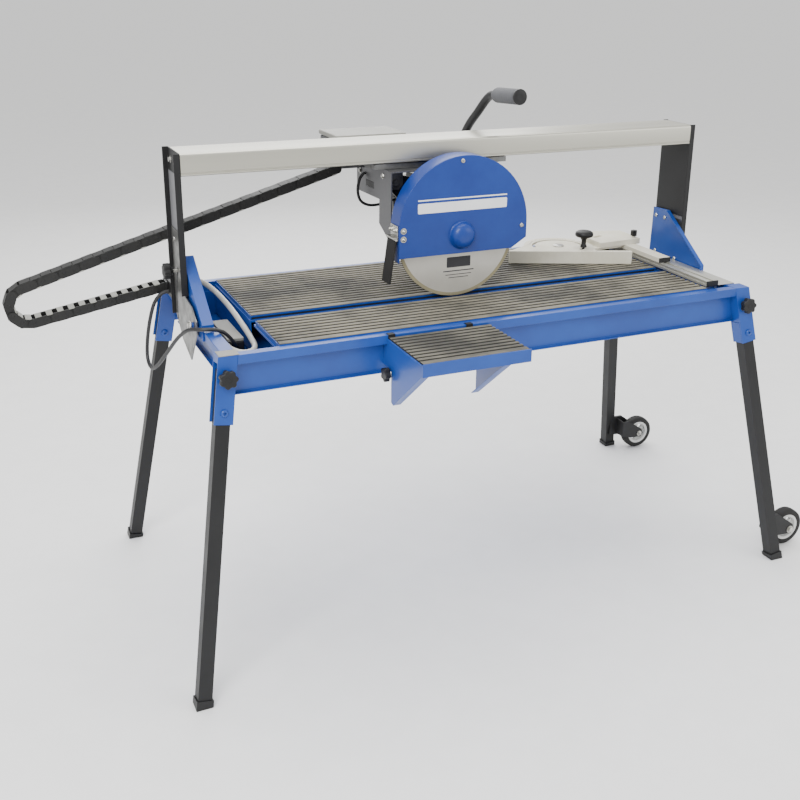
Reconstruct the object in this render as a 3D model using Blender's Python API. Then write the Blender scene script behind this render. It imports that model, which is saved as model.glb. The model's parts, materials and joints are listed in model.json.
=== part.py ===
"""Bridge tile cutter: a wet saw head that runs along a tilting beam over a water tray on folding legs.

Metres, +Z up. The design is drawn about the middle of the table, on the floor: X along the cut, Y from the
operator to the back. The empty tile_cutter carries that drawing and puts the origin under the middle of the
whole machine.
"""

import math

import bmesh
import bpy
from mathutils import Matrix, Vector

# Driving dimensions
HALF_LENGTH = 0.664
HALF_WIDTH = 0.282
RIM_Z = 0.720
RAIL_HEIGHT = 0.088
SHEET = 0.0025
GAP = 0.0003
ORIGIN_SHIFT = Vector((0.0753, 0.0304, 0.0))

WEB_X = 0.6225
WEB_Y = 0.2595
LIP_HEIGHT = 0.020
LIP_END_X = 0.652
RAIL_BOTTOM_Z = RIM_Z - RAIL_HEIGHT

PANEL_TOP_Z = 0.7133
MAT_TOP_Z = 0.7236
SLOT_Y = -0.0703
SLOT_HALF = 0.0143
MAT_EDGE = 0.006
BAY_X = -0.535
MAT_LEFT_X = -0.530
MAT_RIGHT_X = 0.552

BLADE_RADIUS = 0.150
BLADE_CENTRE = Vector((-0.038, SLOT_Y, 0.870))
BLADE_THICKNESS = 0.0022
MOTOR_Z = 0.905
MOTOR_RADIUS = 0.062

GUARD_CENTRE = (-0.031, 0.891)
GUARD_RADIUS = 0.164
GUARD_BOTTOM_Z = 0.818
COVER_BOTTOM_Z = 0.829
GUARD_BACK_Y = -0.0475
GUARD_RIM_Y = -0.0950
COVER_FRONT_Y = -0.0980

BEAM_FRONT_Y = -0.011
BEAM_REAR_Y = 0.099
BEAM_BOTTOM_Z = 1.032
BEAM_TOP_Z = 1.080
BEAM_WALL = 0.003
BEAM_HALF_SLOT = 0.025
BEAM_MIDDLE_Y = (BEAM_FRONT_Y + BEAM_REAR_Y) / 2
END_X = 0.672

GUSSET_X = 0.6525
POST_X = 0.658
PLATE_X = 0.6608
PLATE = 0.003
TILT_AXIS = Vector((0.0, SLOT_Y, MAT_TOP_Z))
LOCK_RADIUS = 0.155
LOCK_ANGLE = math.radians(35)
TILT_RANGE = math.radians(45)

HEAD_PIVOT = Vector((-0.165, 0.0165, 0.985))
HANDLE_X = 0.125
HANDLE_LOW_Z = 0.955

CHAIN_Y = 0.150
CHAIN_WIDTH = 0.040
CHAIN_HEIGHT = 0.025
CHAIN_CENTRE = (-0.977, 0.744)
CHAIN_BEND = 0.041
CHAIN_LOWER_SLOPE = math.atan(0.1786)
CHAIN_UPPER_SLOPE = math.atan(0.294)
CHAIN_LOWER_END_X = -0.6735
CHAIN_UPPER_END_X = -0.246

LEG_FOOT = (0.7576, 0.3834, 0.0)
LEG_TOP = (0.644, 0.263, RIM_Z)
LEG_PIVOT_Z = 0.605
LEG_HALF = 0.015
TUBE_WALL = 0.002
LEG_ABOVE_PIVOT = 0.085
LEG_END_Z = 0.0065
FOOT_HALF = 0.018
FOOT_HEIGHT = 0.015
KNOB_ABOVE_PIVOT = 0.0708

WHEEL_RADIUS = 0.050
WHEEL_WIDTH = 0.028
WHEEL_CENTRE = Vector((0.830, 0.335, 0.052))

STOP_PIVOT = Vector((0.365, 0.124, 0.754))
STOP_ANGLE = math.radians(-23)
STOP_SLOT_RADIUS = 0.066
STOP_KNOB_ANGLE = math.radians(-33)
PROFILE_LEFT_X = 0.556
PROFILE_RIGHT_X = 0.590
PROFILE_TOP_Z = 0.738
SLIDER_TOP_Z = 0.7503

EXTENSION_LEFT_X = -0.302
EXTENSION_RIGHT_X = -0.056
EXTENSION_FRONT_Y = -0.460
EXTENSION_REAR_Y = -0.2828
EXTENSION_TOP_Z = 0.7115

HOSE_RADIUS = 0.0065
HOSE_ROUTE = [
    (-0.6620, 0.1500, 0.7525),
    (-0.6480, 0.1502, 0.7540),
    (-0.6200, 0.1500, 0.7615),
    (-0.5930, 0.141, 0.756),
    (-0.5720, 0.108, 0.741),
    (-0.5600, 0.050, 0.7265),
    (-0.5530, -0.008, 0.7125),
    (-0.5490, -0.060, 0.7000),
    (-0.5480, -0.110, 0.6900),
    (-0.5520, -0.150, 0.6860),
    (-0.5660, -0.174, 0.6850),
    (-0.5860, -0.176, 0.6850),
    (-0.6010, -0.158, 0.6860),
    (-0.6070, -0.122, 0.6870),
    (-0.6090, -0.075, 0.6850),
    (-0.6095, -0.030, 0.6760),
    (-0.6095, 0.012, 0.6605),
    (-0.6095, 0.032, 0.6582),
    (-0.6095, 0.0495, 0.6580),
]
CABLE_RADIUS = 0.0042
CABLE_ROUTE = [
    (-0.6735, 0.120, 0.748),
    (-0.6900, 0.120, 0.745),
    (-0.7080, 0.122, 0.724),
    (-0.7200, 0.130, 0.680),
    (-0.7280, 0.135, 0.630),
    (-0.7320, 0.125, 0.592),
    (-0.7300, 0.095, 0.578),
    (-0.7240, 0.055, 0.596),
    (-0.7120, 0.005, 0.638),
    (-0.6960, -0.050, 0.690),
    (-0.6810, -0.095, 0.7215),
    (-0.6600, -0.124, 0.7292),
    (-0.6360, -0.132, 0.7287),
    (-0.6160, -0.135, 0.7225),
    (-0.5980, -0.131, 0.7030),
    (-0.5850, -0.116, 0.6825),
    (-0.5820, -0.0965, 0.6765),
]

for leftover in list(bpy.data.objects):
    bpy.data.objects.remove(leftover)

parts = bpy.data.collections.new("tile_cutter")
cutters = bpy.data.collections.new("cutters")
cutters.hide_render = True
for collection in (parts, cutters):
    bpy.context.scene.collection.children.link(collection)

FINISHES = {
    "blue_paint": ((0.030, 0.125, 0.470), 0.35, 0.0),
    "black_paint": ((0.035, 0.035, 0.038), 0.45, 0.0),
    "zinc_steel": ((0.400, 0.400, 0.390), 0.40, 0.8),
    "aluminium": ((0.560, 0.555, 0.520), 0.35, 0.9),
    "cast_aluminium": ((0.620, 0.600, 0.520), 0.50, 0.3),
    "blade_steel": ((0.600, 0.590, 0.540), 0.30, 0.9),
    "ribbed_rubber": ((0.130, 0.120, 0.105), 0.75, 0.0),
    "black_plastic": ((0.020, 0.020, 0.022), 0.50, 0.0),
    "grey_plastic": ((0.450, 0.450, 0.430), 0.50, 0.0),
    "cream_hose": ((0.620, 0.600, 0.540), 0.40, 0.0),
}


def finish(name):
    """The Principled material of that name, made once."""
    material = bpy.data.materials.get(name)
    if material is None:
        colour, roughness, metallic = FINISHES[name]
        material = bpy.data.materials.new(name)
        material.use_nodes = True
        shader = material.node_tree.nodes["Principled BSDF"]
        shader.inputs["Base Color"].default_value = (*colour, 1.0)
        shader.inputs["Roughness"].default_value = roughness
        shader.inputs["Metallic"].default_value = metallic
    return material


def empty(name, location=(0.0, 0.0, 0.0), parent=None):
    """A guide on a joint's axis. Its location is in the table's frame."""
    pivot = bpy.data.objects.new(name, None)
    pivot.empty_display_size = 0.03
    parts.objects.link(pivot)
    base = Vector((0.0, 0.0, 0.0))
    if parent is not None:
        pivot.parent = parent
        base = parent["place"]
    pivot["place"] = Vector(location)
    pivot.location = Vector(location) - Vector(base)
    return pivot


machine = empty("tile_cutter")
machine.location = ORIGIN_SHIFT


def solid(name, mesh, pivot=machine, material=None):
    """A named part when a material is given, otherwise a cutter. The mesh is drawn in the table's frame."""
    obj = bpy.data.objects.new(name, mesh)
    obj.parent = pivot
    mesh.transform(Matrix.Translation(-Vector(pivot["place"])))
    if material is None:
        cutters.objects.link(obj)
        obj.hide_render = True
        obj.display_type = "WIRE"
    else:
        parts.objects.link(obj)
        mesh.materials.clear()
        mesh.materials.append(finish(material))
    return obj


def tool(mesh):
    """A cutter or an added lump, kept out of the render."""
    return solid("shape", mesh)


def from_bmesh(bm, smooth=False):
    bmesh.ops.recalc_face_normals(bm, faces=bm.faces)
    mesh = bpy.data.meshes.new("solid")
    bm.to_mesh(mesh)
    bm.free()
    if smooth:
        mesh.shade_smooth()
        mesh.set_sharp_from_angle(angle=math.radians(35))
    return mesh


def box(low, high, place=None):
    """A box between two corners."""
    low, high = Vector(low), Vector(high)
    bm = bmesh.new()
    bmesh.ops.create_cube(bm, size=1.0)
    size = high - low
    bmesh.ops.scale(bm, vec=[abs(side) for side in size], verts=bm.verts)
    bmesh.ops.translate(bm, vec=(low + high) / 2, verts=bm.verts)
    mesh = from_bmesh(bm)
    if place is not None:
        mesh.transform(place)
    return mesh


def rod(start, end, radius, segments=32, end_radius=None):
    """A cylinder, or a cone, from one point to another."""
    start, end = Vector(start), Vector(end)
    bm = bmesh.new()
    bmesh.ops.create_cone(
        bm,
        cap_ends=True,
        segments=segments,
        radius1=radius,
        radius2=radius if end_radius is None else end_radius,
        depth=(end - start).length,
    )
    mesh = from_bmesh(bm, smooth=True)
    turn = (end - start).to_track_quat("Z", "Y").to_matrix().to_4x4()
    mesh.transform(Matrix.Translation((start + end) / 2) @ turn)
    return mesh


def welded(obj):
    """The mesh that a curve object shows, with its loose caps joined on. The curve is removed."""
    graph = bpy.context.evaluated_depsgraph_get()
    mesh = bpy.data.meshes.new_from_object(obj.evaluated_get(graph))
    bpy.data.objects.remove(obj)
    bm = bmesh.new()
    bm.from_mesh(mesh)
    bmesh.ops.remove_doubles(bm, verts=bm.verts, dist=1e-6)
    return from_bmesh(bm)


PLANES = {
    "XY": Matrix.Identity(4),
    "XZ": Matrix(((1, 0, 0, 0), (0, 0, -1, 0), (0, 1, 0, 0), (0, 0, 0, 1))),
    "YZ": Matrix(((0, 0, 1, 0), (1, 0, 0, 0), (0, 1, 0, 0), (0, 0, 0, 1))),
}


def sheet(plane, low, high, *outlines):
    """A flat outline, with any further outlines as holes, between two levels of the plane's normal."""
    curve = bpy.data.curves.new("outline", "CURVE")
    curve.dimensions = "2D"
    curve.fill_mode = "BOTH"
    curve.extrude = abs(high - low) / 2
    for outline in outlines:
        spline = curve.splines.new("POLY")
        spline.points.add(len(outline) - 1)
        spline.use_cyclic_u = True
        for point, (across, up) in zip(spline.points, outline):
            point.co = (across, up, 0.0, 1.0)
    drawn = bpy.data.objects.new("outline", curve)
    cutters.objects.link(drawn)
    bpy.context.view_layer.update()
    mesh = welded(drawn)
    middle = (low + high) / 2
    normal = {"XY": (0, 0, 1), "XZ": (0, 1, 0), "YZ": (1, 0, 0)}[plane]
    mesh.transform(Matrix.Translation(Vector(normal) * middle) @ PLANES[plane])
    return mesh


def arc(centre, radius, start, end, steps):
    """Points along a circular arc, angles in radians."""
    angles = [start + (end - start) * step / steps for step in range(steps + 1)]
    return [(centre[0] + radius * math.cos(a), centre[1] + radius * math.sin(a)) for a in angles]


def arc_slot(centre, radius, half, start, end, steps=14):
    """The outline of a round-ended slot that follows an arc."""
    outer = arc(centre, radius + half, start, end, steps)
    inner = arc(centre, radius - half, end, start, steps)
    far = (centre[0] + radius * math.cos(end), centre[1] + radius * math.sin(end))
    near = (centre[0] + radius * math.cos(start), centre[1] + radius * math.sin(start))
    cap_far = arc(far, half, end, end + math.pi, 4)[1:-1]
    cap_near = arc(near, half, start + math.pi, start + 2 * math.pi, 4)[1:-1]
    return outer + cap_far + inner + cap_near


def boolean(obj, operation, meshes):
    for mesh in meshes:
        modifier = obj.modifiers.new(operation.title(), "BOOLEAN")
        modifier.operation = operation
        modifier.object = tool(mesh)
    return obj


def cut(obj, *meshes):
    return boolean(obj, "DIFFERENCE", meshes)


def add(obj, *meshes):
    return boolean(obj, "UNION", meshes)


def smooth_route(route, step):
    """Points about one step apart on a smooth curve through the route."""
    points = [Vector(point) for point in route]
    ends = [points[0] * 2 - points[1], *points, points[-1] * 2 - points[-2]]
    found = []
    for before, start, end, after in zip(ends, ends[1:], ends[2:], ends[3:]):
        pieces = max(1, round((end - start).length / step))
        for piece in range(pieces):
            t = piece / pieces
            bend = (before * 2 - start * 5 + end * 4 - after) * t**2
            twist = (start * 3 - before - end * 3 + after) * t**3
            found.append((start * 2 + (end - before) * t + bend + twist) / 2)
    return found + [points[-1]]


def tube(name, route, radius, step, pivot, material, resolution=2):
    """A round tube along a smooth route."""
    curve = bpy.data.curves.new(name, "CURVE")
    curve.dimensions = "3D"
    curve.bevel_depth = radius
    curve.bevel_resolution = resolution
    curve.use_fill_caps = True
    points = smooth_route(route, step)
    spline = curve.splines.new("POLY")
    spline.points.add(len(points) - 1)
    for point, place in zip(spline.points, points):
        point.co = (*(place - Vector(pivot["place"])), 1.0)
    obj = bpy.data.objects.new(name, curve)
    obj.parent = pivot
    parts.objects.link(obj)
    curve.materials.append(finish(material))
    return obj


def star(lobes, radius, depth, steps=8):
    """The outline of a hand knob with round lobes."""
    count = lobes * steps
    points = []
    for step in range(count):
        angle = 2 * math.pi * step / count
        reach = radius - depth * (0.5 - 0.5 * math.cos(lobes * angle))
        points.append((reach * math.cos(angle), reach * math.sin(angle)))
    return points


def axes_at(origin, along):
    """A frame whose Z runs along a direction."""
    turn = Vector(along).to_track_quat("Z", "Y").to_matrix().to_4x4()
    return Matrix.Translation(Vector(origin)) @ turn


def star_knob(name, origin, along, pivot, stem=0.010, radius=0.020):
    """A five-lobed clamp knob on its hub, turned to face along its axis."""
    place = axes_at(origin, along)
    head = sheet("XY", stem, stem + 0.016, star(5, radius, 0.005))
    head.transform(place)
    hub = rod((0, 0, 0), (0, 0, stem + 0.004), 0.009, 24)
    hub.transform(place)
    knob = solid(name, head, pivot, "black_plastic")
    return add(knob, hub)


# --- Frame, tray and table -----------------------------------------------------------------------------------


def make_tray():
    reach = (WEB_X - 0.0012, WEB_Y - 0.0005)
    tray = solid(
        "water_tray",
        box((-reach[0], -reach[1], 0.6335), (reach[0], reach[1], 0.6965)),
        material="blue_paint",
    )
    return cut(tray, box((-reach[0] + 0.002, -reach[1] + 0.002, 0.6355), (reach[0] - 0.002, reach[1] - 0.002, 0.72)))


def rail_section(inner, lip_end):
    """Half of the frame's section: web, folded upper lip and bottom flange, from the inside out."""
    return [
        (inner, RAIL_BOTTOM_Z),
        (inner + 0.012, RAIL_BOTTOM_Z),
        (inner + 0.012, RAIL_BOTTOM_Z + SHEET),
        (inner + SHEET, RAIL_BOTTOM_Z + SHEET),
        (inner + SHEET, RIM_Z - LIP_HEIGHT),
        (lip_end, RIM_Z - LIP_HEIGHT),
        (lip_end, RIM_Z),
        (inner, RIM_Z),
    ]


def leg_axes(side, end):
    """A leg's frame: origin on its fold axis, Z up the leg, Y along the fold pin."""
    foot = Vector((side * LEG_FOOT[0], end * LEG_FOOT[1], LEG_FOOT[2]))
    top = Vector((side * LEG_TOP[0], end * LEG_TOP[1], LEG_TOP[2]))
    up = (top - foot).normalized()
    pin = (Vector((0, 1, 0)) - up * up.y).normalized()
    across = pin.cross(up)
    origin = foot + up * (LEG_PIVOT_Z / up.z)
    place = Matrix((across, pin, up)).transposed().to_4x4()
    return Matrix.Translation(origin) @ place, origin, up


CORNERS = [
    ("front_left", -1, -1),
    ("rear_left", -1, 1),
    ("front_right", 1, -1),
    ("rear_right", 1, 1),
]


def corner_blanks():
    """What each leg bracket takes out of the front and rear rails."""
    blanks = []
    for _, side, end in CORNERS:
        place, _, _ = leg_axes(side, end)
        reach = sorted((-side * 0.0203, side * 0.080))
        blanks.append(box((reach[0], -0.040, -0.05), (reach[1], 0.040, 0.16), place))
    return blanks


def make_rails():
    for name, end in (("front_rail", -1), ("rear_rail", 1)):
        outline = [(end * across, up) for across, up in rail_section(WEB_Y, HALF_WIDTH)]
        rail = solid(name, sheet("YZ", -0.662, 0.662, outline), material="blue_paint")
        corners = [blank for blank, (_, _, at) in zip(corner_blanks(), CORNERS) if at == end]
        cut(rail, *corners)
    for name, side in (("left_rail", -1), ("right_rail", 1)):
        outline = [(side * across, up) for across, up in rail_section(WEB_X, LIP_END_X)]
        solid(name, sheet("XZ", -0.2425, 0.2425, outline), material="blue_paint")


def make_leg_bracket(name, side, end):
    place, _, _ = leg_axes(side, end)
    shell = box((-0.020, -0.018, -0.024), (0.020, 0.018, 0.140), place)
    bracket = solid("leg_bracket_" + name, shell, material="blue_paint")
    inside = sorted((-side * 0.0175, side * 0.030))
    hollow = box((inside[0], -0.0155, -0.050), (inside[1], 0.0155, 0.100), place)
    doorway = box((-0.030, -0.0150, -0.060), (0.030, 0.0150, 0.030), place)
    above = box((side * 0.55, end * 0.18, RIM_Z), (side * 0.75, end * 0.40, RIM_Z + 0.06))
    return cut(bracket, hollow, doorway, above)


def make_table():
    slot_front = SLOT_Y - SLOT_HALF
    slot_rear = SLOT_Y + SLOT_HALF
    edge = WEB_Y - 0.0005
    right = WEB_X - 0.001
    bottom = PANEL_TOP_Z - 0.005
    solid(
        "front_panel",
        box((BAY_X, -edge, bottom), (right, slot_front, PANEL_TOP_Z)),
        material="blue_paint",
    )
    rear = solid(
        "rear_panel",
        box((BAY_X, slot_rear, bottom), (right, edge, PANEL_TOP_Z)),
        material="blue_paint",
    )
    add(rear, box((BAY_X, slot_rear, 0.640), (BAY_X + 0.003, edge - 0.003, PANEL_TOP_Z - 0.001)))
    solid(
        "front_mat",
        box((MAT_LEFT_X, -edge, PANEL_TOP_Z + GAP), (MAT_RIGHT_X, slot_front - MAT_EDGE, MAT_TOP_Z)),
        material="ribbed_rubber",
    )
    solid(
        "rear_mat",
        box((MAT_LEFT_X, slot_rear + MAT_EDGE, PANEL_TOP_Z + GAP), (MAT_RIGHT_X, edge, MAT_TOP_Z)),
        material="ribbed_rubber",
    )


def make_gusset(name, side, flange):
    """The fixed blue triangle at one end, with its folded front edge and the portal's pivot stud."""
    top_rear, top_front = (0.107, 0.845), (0.040, 0.848)
    low_front, low_rear = (-0.118, 0.735), (0.112, 0.700)
    outline = [top_rear, top_front, low_front, (low_front[0], 0.700), low_rear]
    inner, outer = side * GUSSET_X, side * (GUSSET_X + PLATE)
    gusset = solid(name, sheet("YZ", inner, outer, outline), material="blue_paint")
    fold_back = side * (GUSSET_X - flange)
    strip = [
        top_front,
        low_front,
        (low_front[0], 0.7215),
        (low_front[0] + PLATE, 0.7215),
        (low_front[0] + PLATE, low_front[1] - 0.002),
        (top_front[0] + PLATE, top_front[1] - PLATE),
    ]
    folded = sheet("YZ", fold_back, outer, strip)
    stud = rod((inner, *TILT_AXIS.yz), (side * 0.670, *TILT_AXIS.yz), 0.006, 24)
    return add(gusset, folded, stud)


def make_pump():
    pump = solid("water_pump", box((-0.598, -0.095, 0.6358), (-0.560, 0.045, 0.690)), material="black_plastic")
    add(pump, box((-0.617, 0.050, 0.648), (-0.580, 0.064, 0.668)))
    return add(pump, box((-0.592, 0.040, 0.645), (-0.570, 0.060, 0.672)))


# --- Portal --------------------------------------------------------------------------------------------------


def make_beam(pivot):
    """An aluminium box between the posts, open along its underside where the carriage hangs through."""
    wall = BEAM_WALL
    left, right = BEAM_FRONT_Y, BEAM_REAR_Y
    slot_left, slot_right = BEAM_MIDDLE_Y - BEAM_HALF_SLOT, BEAM_MIDDLE_Y + BEAM_HALF_SLOT
    outline = [
        (left, BEAM_BOTTOM_Z),
        (slot_left, BEAM_BOTTOM_Z),
        (slot_left, BEAM_BOTTOM_Z + wall),
        (left + wall, BEAM_BOTTOM_Z + wall),
        (left + wall, BEAM_TOP_Z - wall),
        (right - wall, BEAM_TOP_Z - wall),
        (right - wall, BEAM_BOTTOM_Z + wall),
        (slot_right, BEAM_BOTTOM_Z + wall),
        (slot_right, BEAM_BOTTOM_Z),
        (right, BEAM_BOTTOM_Z),
        (right, BEAM_TOP_Z),
        (left, BEAM_TOP_Z),
    ]
    reach = POST_X - GAP
    return solid("guide_beam", sheet("YZ", -reach, reach, outline), pivot, "aluminium")


def make_post(name, side, pivot):
    """A channel open to the outside. Its web stops above the tilt slot and its front flange above the plate."""
    front, rear = BEAM_FRONT_Y, 0.105
    low, high = 0.700, BEAM_TOP_Z
    post = solid(
        name,
        box((side * POST_X, front, low), (side * END_X, rear, high)),
        pivot,
        "black_paint",
    )
    if side < 0:
        add(post, box((-END_X, rear - 0.002, 0.735), (-0.6640, 0.172, 0.770)))
    return cut(
        post,
        box((side * (POST_X + SHEET), front + SHEET, low - 0.01), (side * 0.69, rear - SHEET, high + 0.01)),
        box((side * 0.65, front + SHEET, low - 0.01), (side * 0.69, rear - SHEET, 0.840)),
        box((side * 0.65, front - 0.01, low - 0.01), (side * 0.69, front + 0.01, 0.771)),
    )


def make_tilt_plate(name, side, pivot):
    outline = [
        (-0.005, 0.905),
        (0.098, 0.905),
        (0.099, 0.700),
        (0.045, 0.655),
        (-0.030, 0.630),
        (-0.098, 0.712),
        (-0.098, 0.738),
        (-0.060, 0.760),
        (-0.005, 0.768),
    ]
    centre = (TILT_AXIS.y, TILT_AXIS.z)
    slot = arc_slot(centre, LOCK_RADIUS, 0.0048, LOCK_ANGLE - TILT_RANGE - 0.02, LOCK_ANGLE + 0.02)
    bore = arc(centre, 0.0063, 0.0, 2 * math.pi, 24)[:-1]
    levels = (side * PLATE_X, side * (PLATE_X + PLATE))
    return solid(name, sheet("YZ", *levels, outline, slot, bore), pivot, "zinc_steel")


def lock_point(side, level):
    """A point on the tilt lock's axis."""
    return Vector(
        (
            side * level,
            TILT_AXIS.y + LOCK_RADIUS * math.cos(LOCK_ANGLE),
            TILT_AXIS.z + LOCK_RADIUS * math.sin(LOCK_ANGLE),
        )
    )


def make_tilt_knob(name, side):
    pivot = empty(name + "_axis", lock_point(side, 0.680), machine)
    knob = star_knob(name, lock_point(side, 0.6745), (side, 0, 0), pivot, stem=0.006)
    stud = rod(lock_point(side, GUSSET_X + PLATE + GAP), lock_point(side, 0.678), 0.004, 20)
    return add(knob, stud)


# --- Energy chain --------------------------------------------------------------------------------------------


def chain_point(angle, offset=0.0):
    """A point across the bend of the chain, measured from its middle line."""
    reach = CHAIN_BEND + offset
    return (CHAIN_CENTRE[0] + reach * math.cos(angle), CHAIN_CENTRE[1] + reach * math.sin(angle))


def chain_run(name, angle, slope, end_x, pivot):
    """A straight stretch from the bend to its bracket."""
    half = CHAIN_HEIGHT / 2
    near_low, near_high = chain_point(angle, -half), chain_point(angle, half)
    start = 0.0004
    rise = math.tan(slope)
    outline = []
    for point, at in ((near_low, 0), (near_high, 0), (near_high, 1), (near_low, 1)):
        across = end_x if at else point[0] + start
        outline.append((across, point[1] + (across - point[0]) * rise))
    levels = (CHAIN_Y - CHAIN_WIDTH / 2, CHAIN_Y + CHAIN_WIDTH / 2)
    return solid(name, sheet("XZ", *levels, outline), pivot, "black_plastic")


def make_chain(portal, carriage, loop):
    upper = math.pi / 2 + CHAIN_UPPER_SLOPE
    lower = 3 * math.pi / 2 + CHAIN_LOWER_SLOPE
    half = CHAIN_HEIGHT / 2
    outline = arc(CHAIN_CENTRE, CHAIN_BEND + half, upper, lower, 14)
    outline += arc(CHAIN_CENTRE, CHAIN_BEND - half, lower, upper, 14)
    levels = (CHAIN_Y - CHAIN_WIDTH / 2, CHAIN_Y + CHAIN_WIDTH / 2)
    solid("chain_loop", sheet("XZ", *levels, outline), loop, "black_plastic")
    chain_run("chain_lower_run", lower, CHAIN_LOWER_SLOPE, CHAIN_LOWER_END_X, portal)
    chain_run("chain_upper_run", upper, CHAIN_UPPER_SLOPE, CHAIN_UPPER_END_X, carriage)


# --- Carriage ------------------------------------------------------------------------------------------------


def make_carriage(pivot):
    """The plate under the beam, the neck through its slot and the four rollers' bar inside it."""
    middle = BEAM_MIDDLE_Y
    plate = solid(
        "carriage",
        box((-0.215, middle - 0.044, 1.0168), (0.125, middle + 0.044, 1.0288)),
        pivot,
        "zinc_steel",
    )
    neck = box((-0.160, middle - 0.010, 1.020), (0.085, middle + 0.010, 1.050))
    bar = box((-0.170, middle - 0.020, 1.0400), (0.095, middle + 0.020, 1.0620))
    add(plate, neck, bar)
    for across in (-0.150, 0.075):
        for side in (-1, 1):
            start = Vector((across, middle + side * 0.015, 1.0496))
            end = Vector((across, middle + side * 0.044, 1.0496))
            add(plate, rod(start, end, 0.0142, 28))
    return plate


def make_motor_bracket(pivot):
    """The grey plate that carries the head: a stepped side, a top, two lugs and the pivot pin."""
    side_outline = [
        (-0.037, 1.0165),
        (-0.037, 0.858),
        (-0.020, 0.858),
        (0.034, 0.885),
        (0.032, 0.942),
        (0.174, 0.940),
        (0.174, 1.0165),
    ]
    window = [(0.065, 0.960), (0.115, 0.960), (0.115, 0.976), (0.065, 0.976)]
    bracket = solid(
        "motor_bracket",
        sheet("YZ", -0.190, -0.187, side_outline, window),
        pivot,
        "zinc_steel",
    )
    top = box((-0.189, -0.037, 1.0135), (-0.100, 0.174, 1.0165))
    lug = [(-0.188, 1.014), (-0.188, 0.972), (-0.174, 0.968), (-0.156, 0.968), (-0.145, 0.980), (-0.145, 1.014)]
    lugs = [sheet("XZ", low, high, lug) for low, high in ((-0.002, 0.004), (0.030, 0.036))]
    pin_front = (HEAD_PIVOT.x, -0.008, HEAD_PIVOT.z)
    pin_rear = (HEAD_PIVOT.x, 0.044, HEAD_PIVOT.z)
    pin = rod(pin_front, pin_rear, 0.007, 24)
    tab = box((CHAIN_UPPER_END_X + 0.0005, 0.132, 1.000), (-0.188, 0.168, 1.006))
    return add(bracket, top, *lugs, pin, tab)


def make_switch_box(pivot):
    shell = solid("switch_box", box((-0.262, 0.121, 1.0168), (-0.082, 0.247, 1.0790)), pivot, "grey_plastic")
    cut(shell, box((-0.092, 0.168, 1.033), (-0.080, 0.202, 1.062)))
    rocker_pivot = empty("switch_rocker_axis", (-0.087, 0.185, 1.0475), pivot)
    solid(
        "switch_rocker",
        box((-0.0890, 0.1695, 1.0365), (-0.0790, 0.2005, 1.0585)),
        rocker_pivot,
        "black_plastic",
    )
    return shell


# --- Cutting head --------------------------------------------------------------------------------------------


def make_swing_arm(pivot):
    """The plate that carries the motor, the gear housing and the handle, swinging on the bracket's pin."""
    bore = arc((HEAD_PIVOT.x, HEAD_PIVOT.z), 0.0073, 0.0, 2 * math.pi, 24)[:-1]
    outline = arc((HEAD_PIVOT.x, HEAD_PIVOT.z), 0.018, math.radians(80), math.radians(235), 8)
    outline += [
        (-0.110, 0.900),
        (-0.090, 0.840),
        (-0.060, 0.822),
        (-0.016, 0.822),
        (0.014, 0.840),
        (0.040, 0.920),
        (0.128, 0.943),
        (0.138, 0.955),
        (0.128, 0.967),
        (-0.030, 0.975),
        (-0.100, 0.988),
    ]
    arm = solid("swing_arm", sheet("XZ", 0.0125, 0.0205, outline, bore), pivot, "zinc_steel")
    centre_x, low_z = BLADE_CENTRE.x, BLADE_CENTRE.z
    housing = arc((centre_x, MOTOR_Z), 0.045, 0.0, math.pi, 14)
    housing += arc((centre_x, low_z), 0.045, math.pi, 2 * math.pi, 14)
    add(arm, sheet("XZ", -0.0465, 0.0135, housing))
    return cut(arm, rod((centre_x, -0.060, low_z), (centre_x, -0.004, low_z), 0.0103, 32))


def make_motor(pivot):
    start = (BLADE_CENTRE.x, 0.0208, MOTOR_Z)
    end = (BLADE_CENTRE.x, 0.205, MOTOR_Z)
    return solid("motor_housing", rod(start, end, MOTOR_RADIUS, 40), pivot, "black_plastic")


def guard_outline(bottom, inset=0.0):
    """The guard's side view: straight down on the left, round over the top, with a cut corner at the right."""
    radius = GUARD_RADIUS - inset
    corner = 0.094 - 0.6 * (COVER_BOTTOM_Z - bottom) - inset
    right = GUARD_CENTRE[0] + radius
    outline = arc(GUARD_CENTRE, radius, math.pi, 0.0, 36)
    return outline + [(right, 0.853), (corner, bottom), (GUARD_CENTRE[0] - radius, bottom)]


def make_guard(pivot):
    shell = solid(
        "guard_shell",
        sheet("XZ", GUARD_RIM_Y, GUARD_BACK_Y, guard_outline(GUARD_BOTTOM_Z)),
        pivot,
        "blue_paint",
    )
    inside = guard_outline(GUARD_BOTTOM_Z - 0.02, 0.002)
    centre_x, centre_z = BLADE_CENTRE.x, BLADE_CENTRE.z
    cut(
        shell,
        sheet("XZ", GUARD_RIM_Y - 0.01, GUARD_BACK_Y - 0.0025, inside),
        rod((centre_x, -0.060, centre_z), (centre_x, -0.040, centre_z), 0.028, 32),
    )
    cover = sheet("XZ", COVER_FRONT_Y, GUARD_RIM_Y - GAP, guard_outline(COVER_BOTTOM_Z))
    solid("guard_cover", cover, pivot, "blue_paint")


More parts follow.
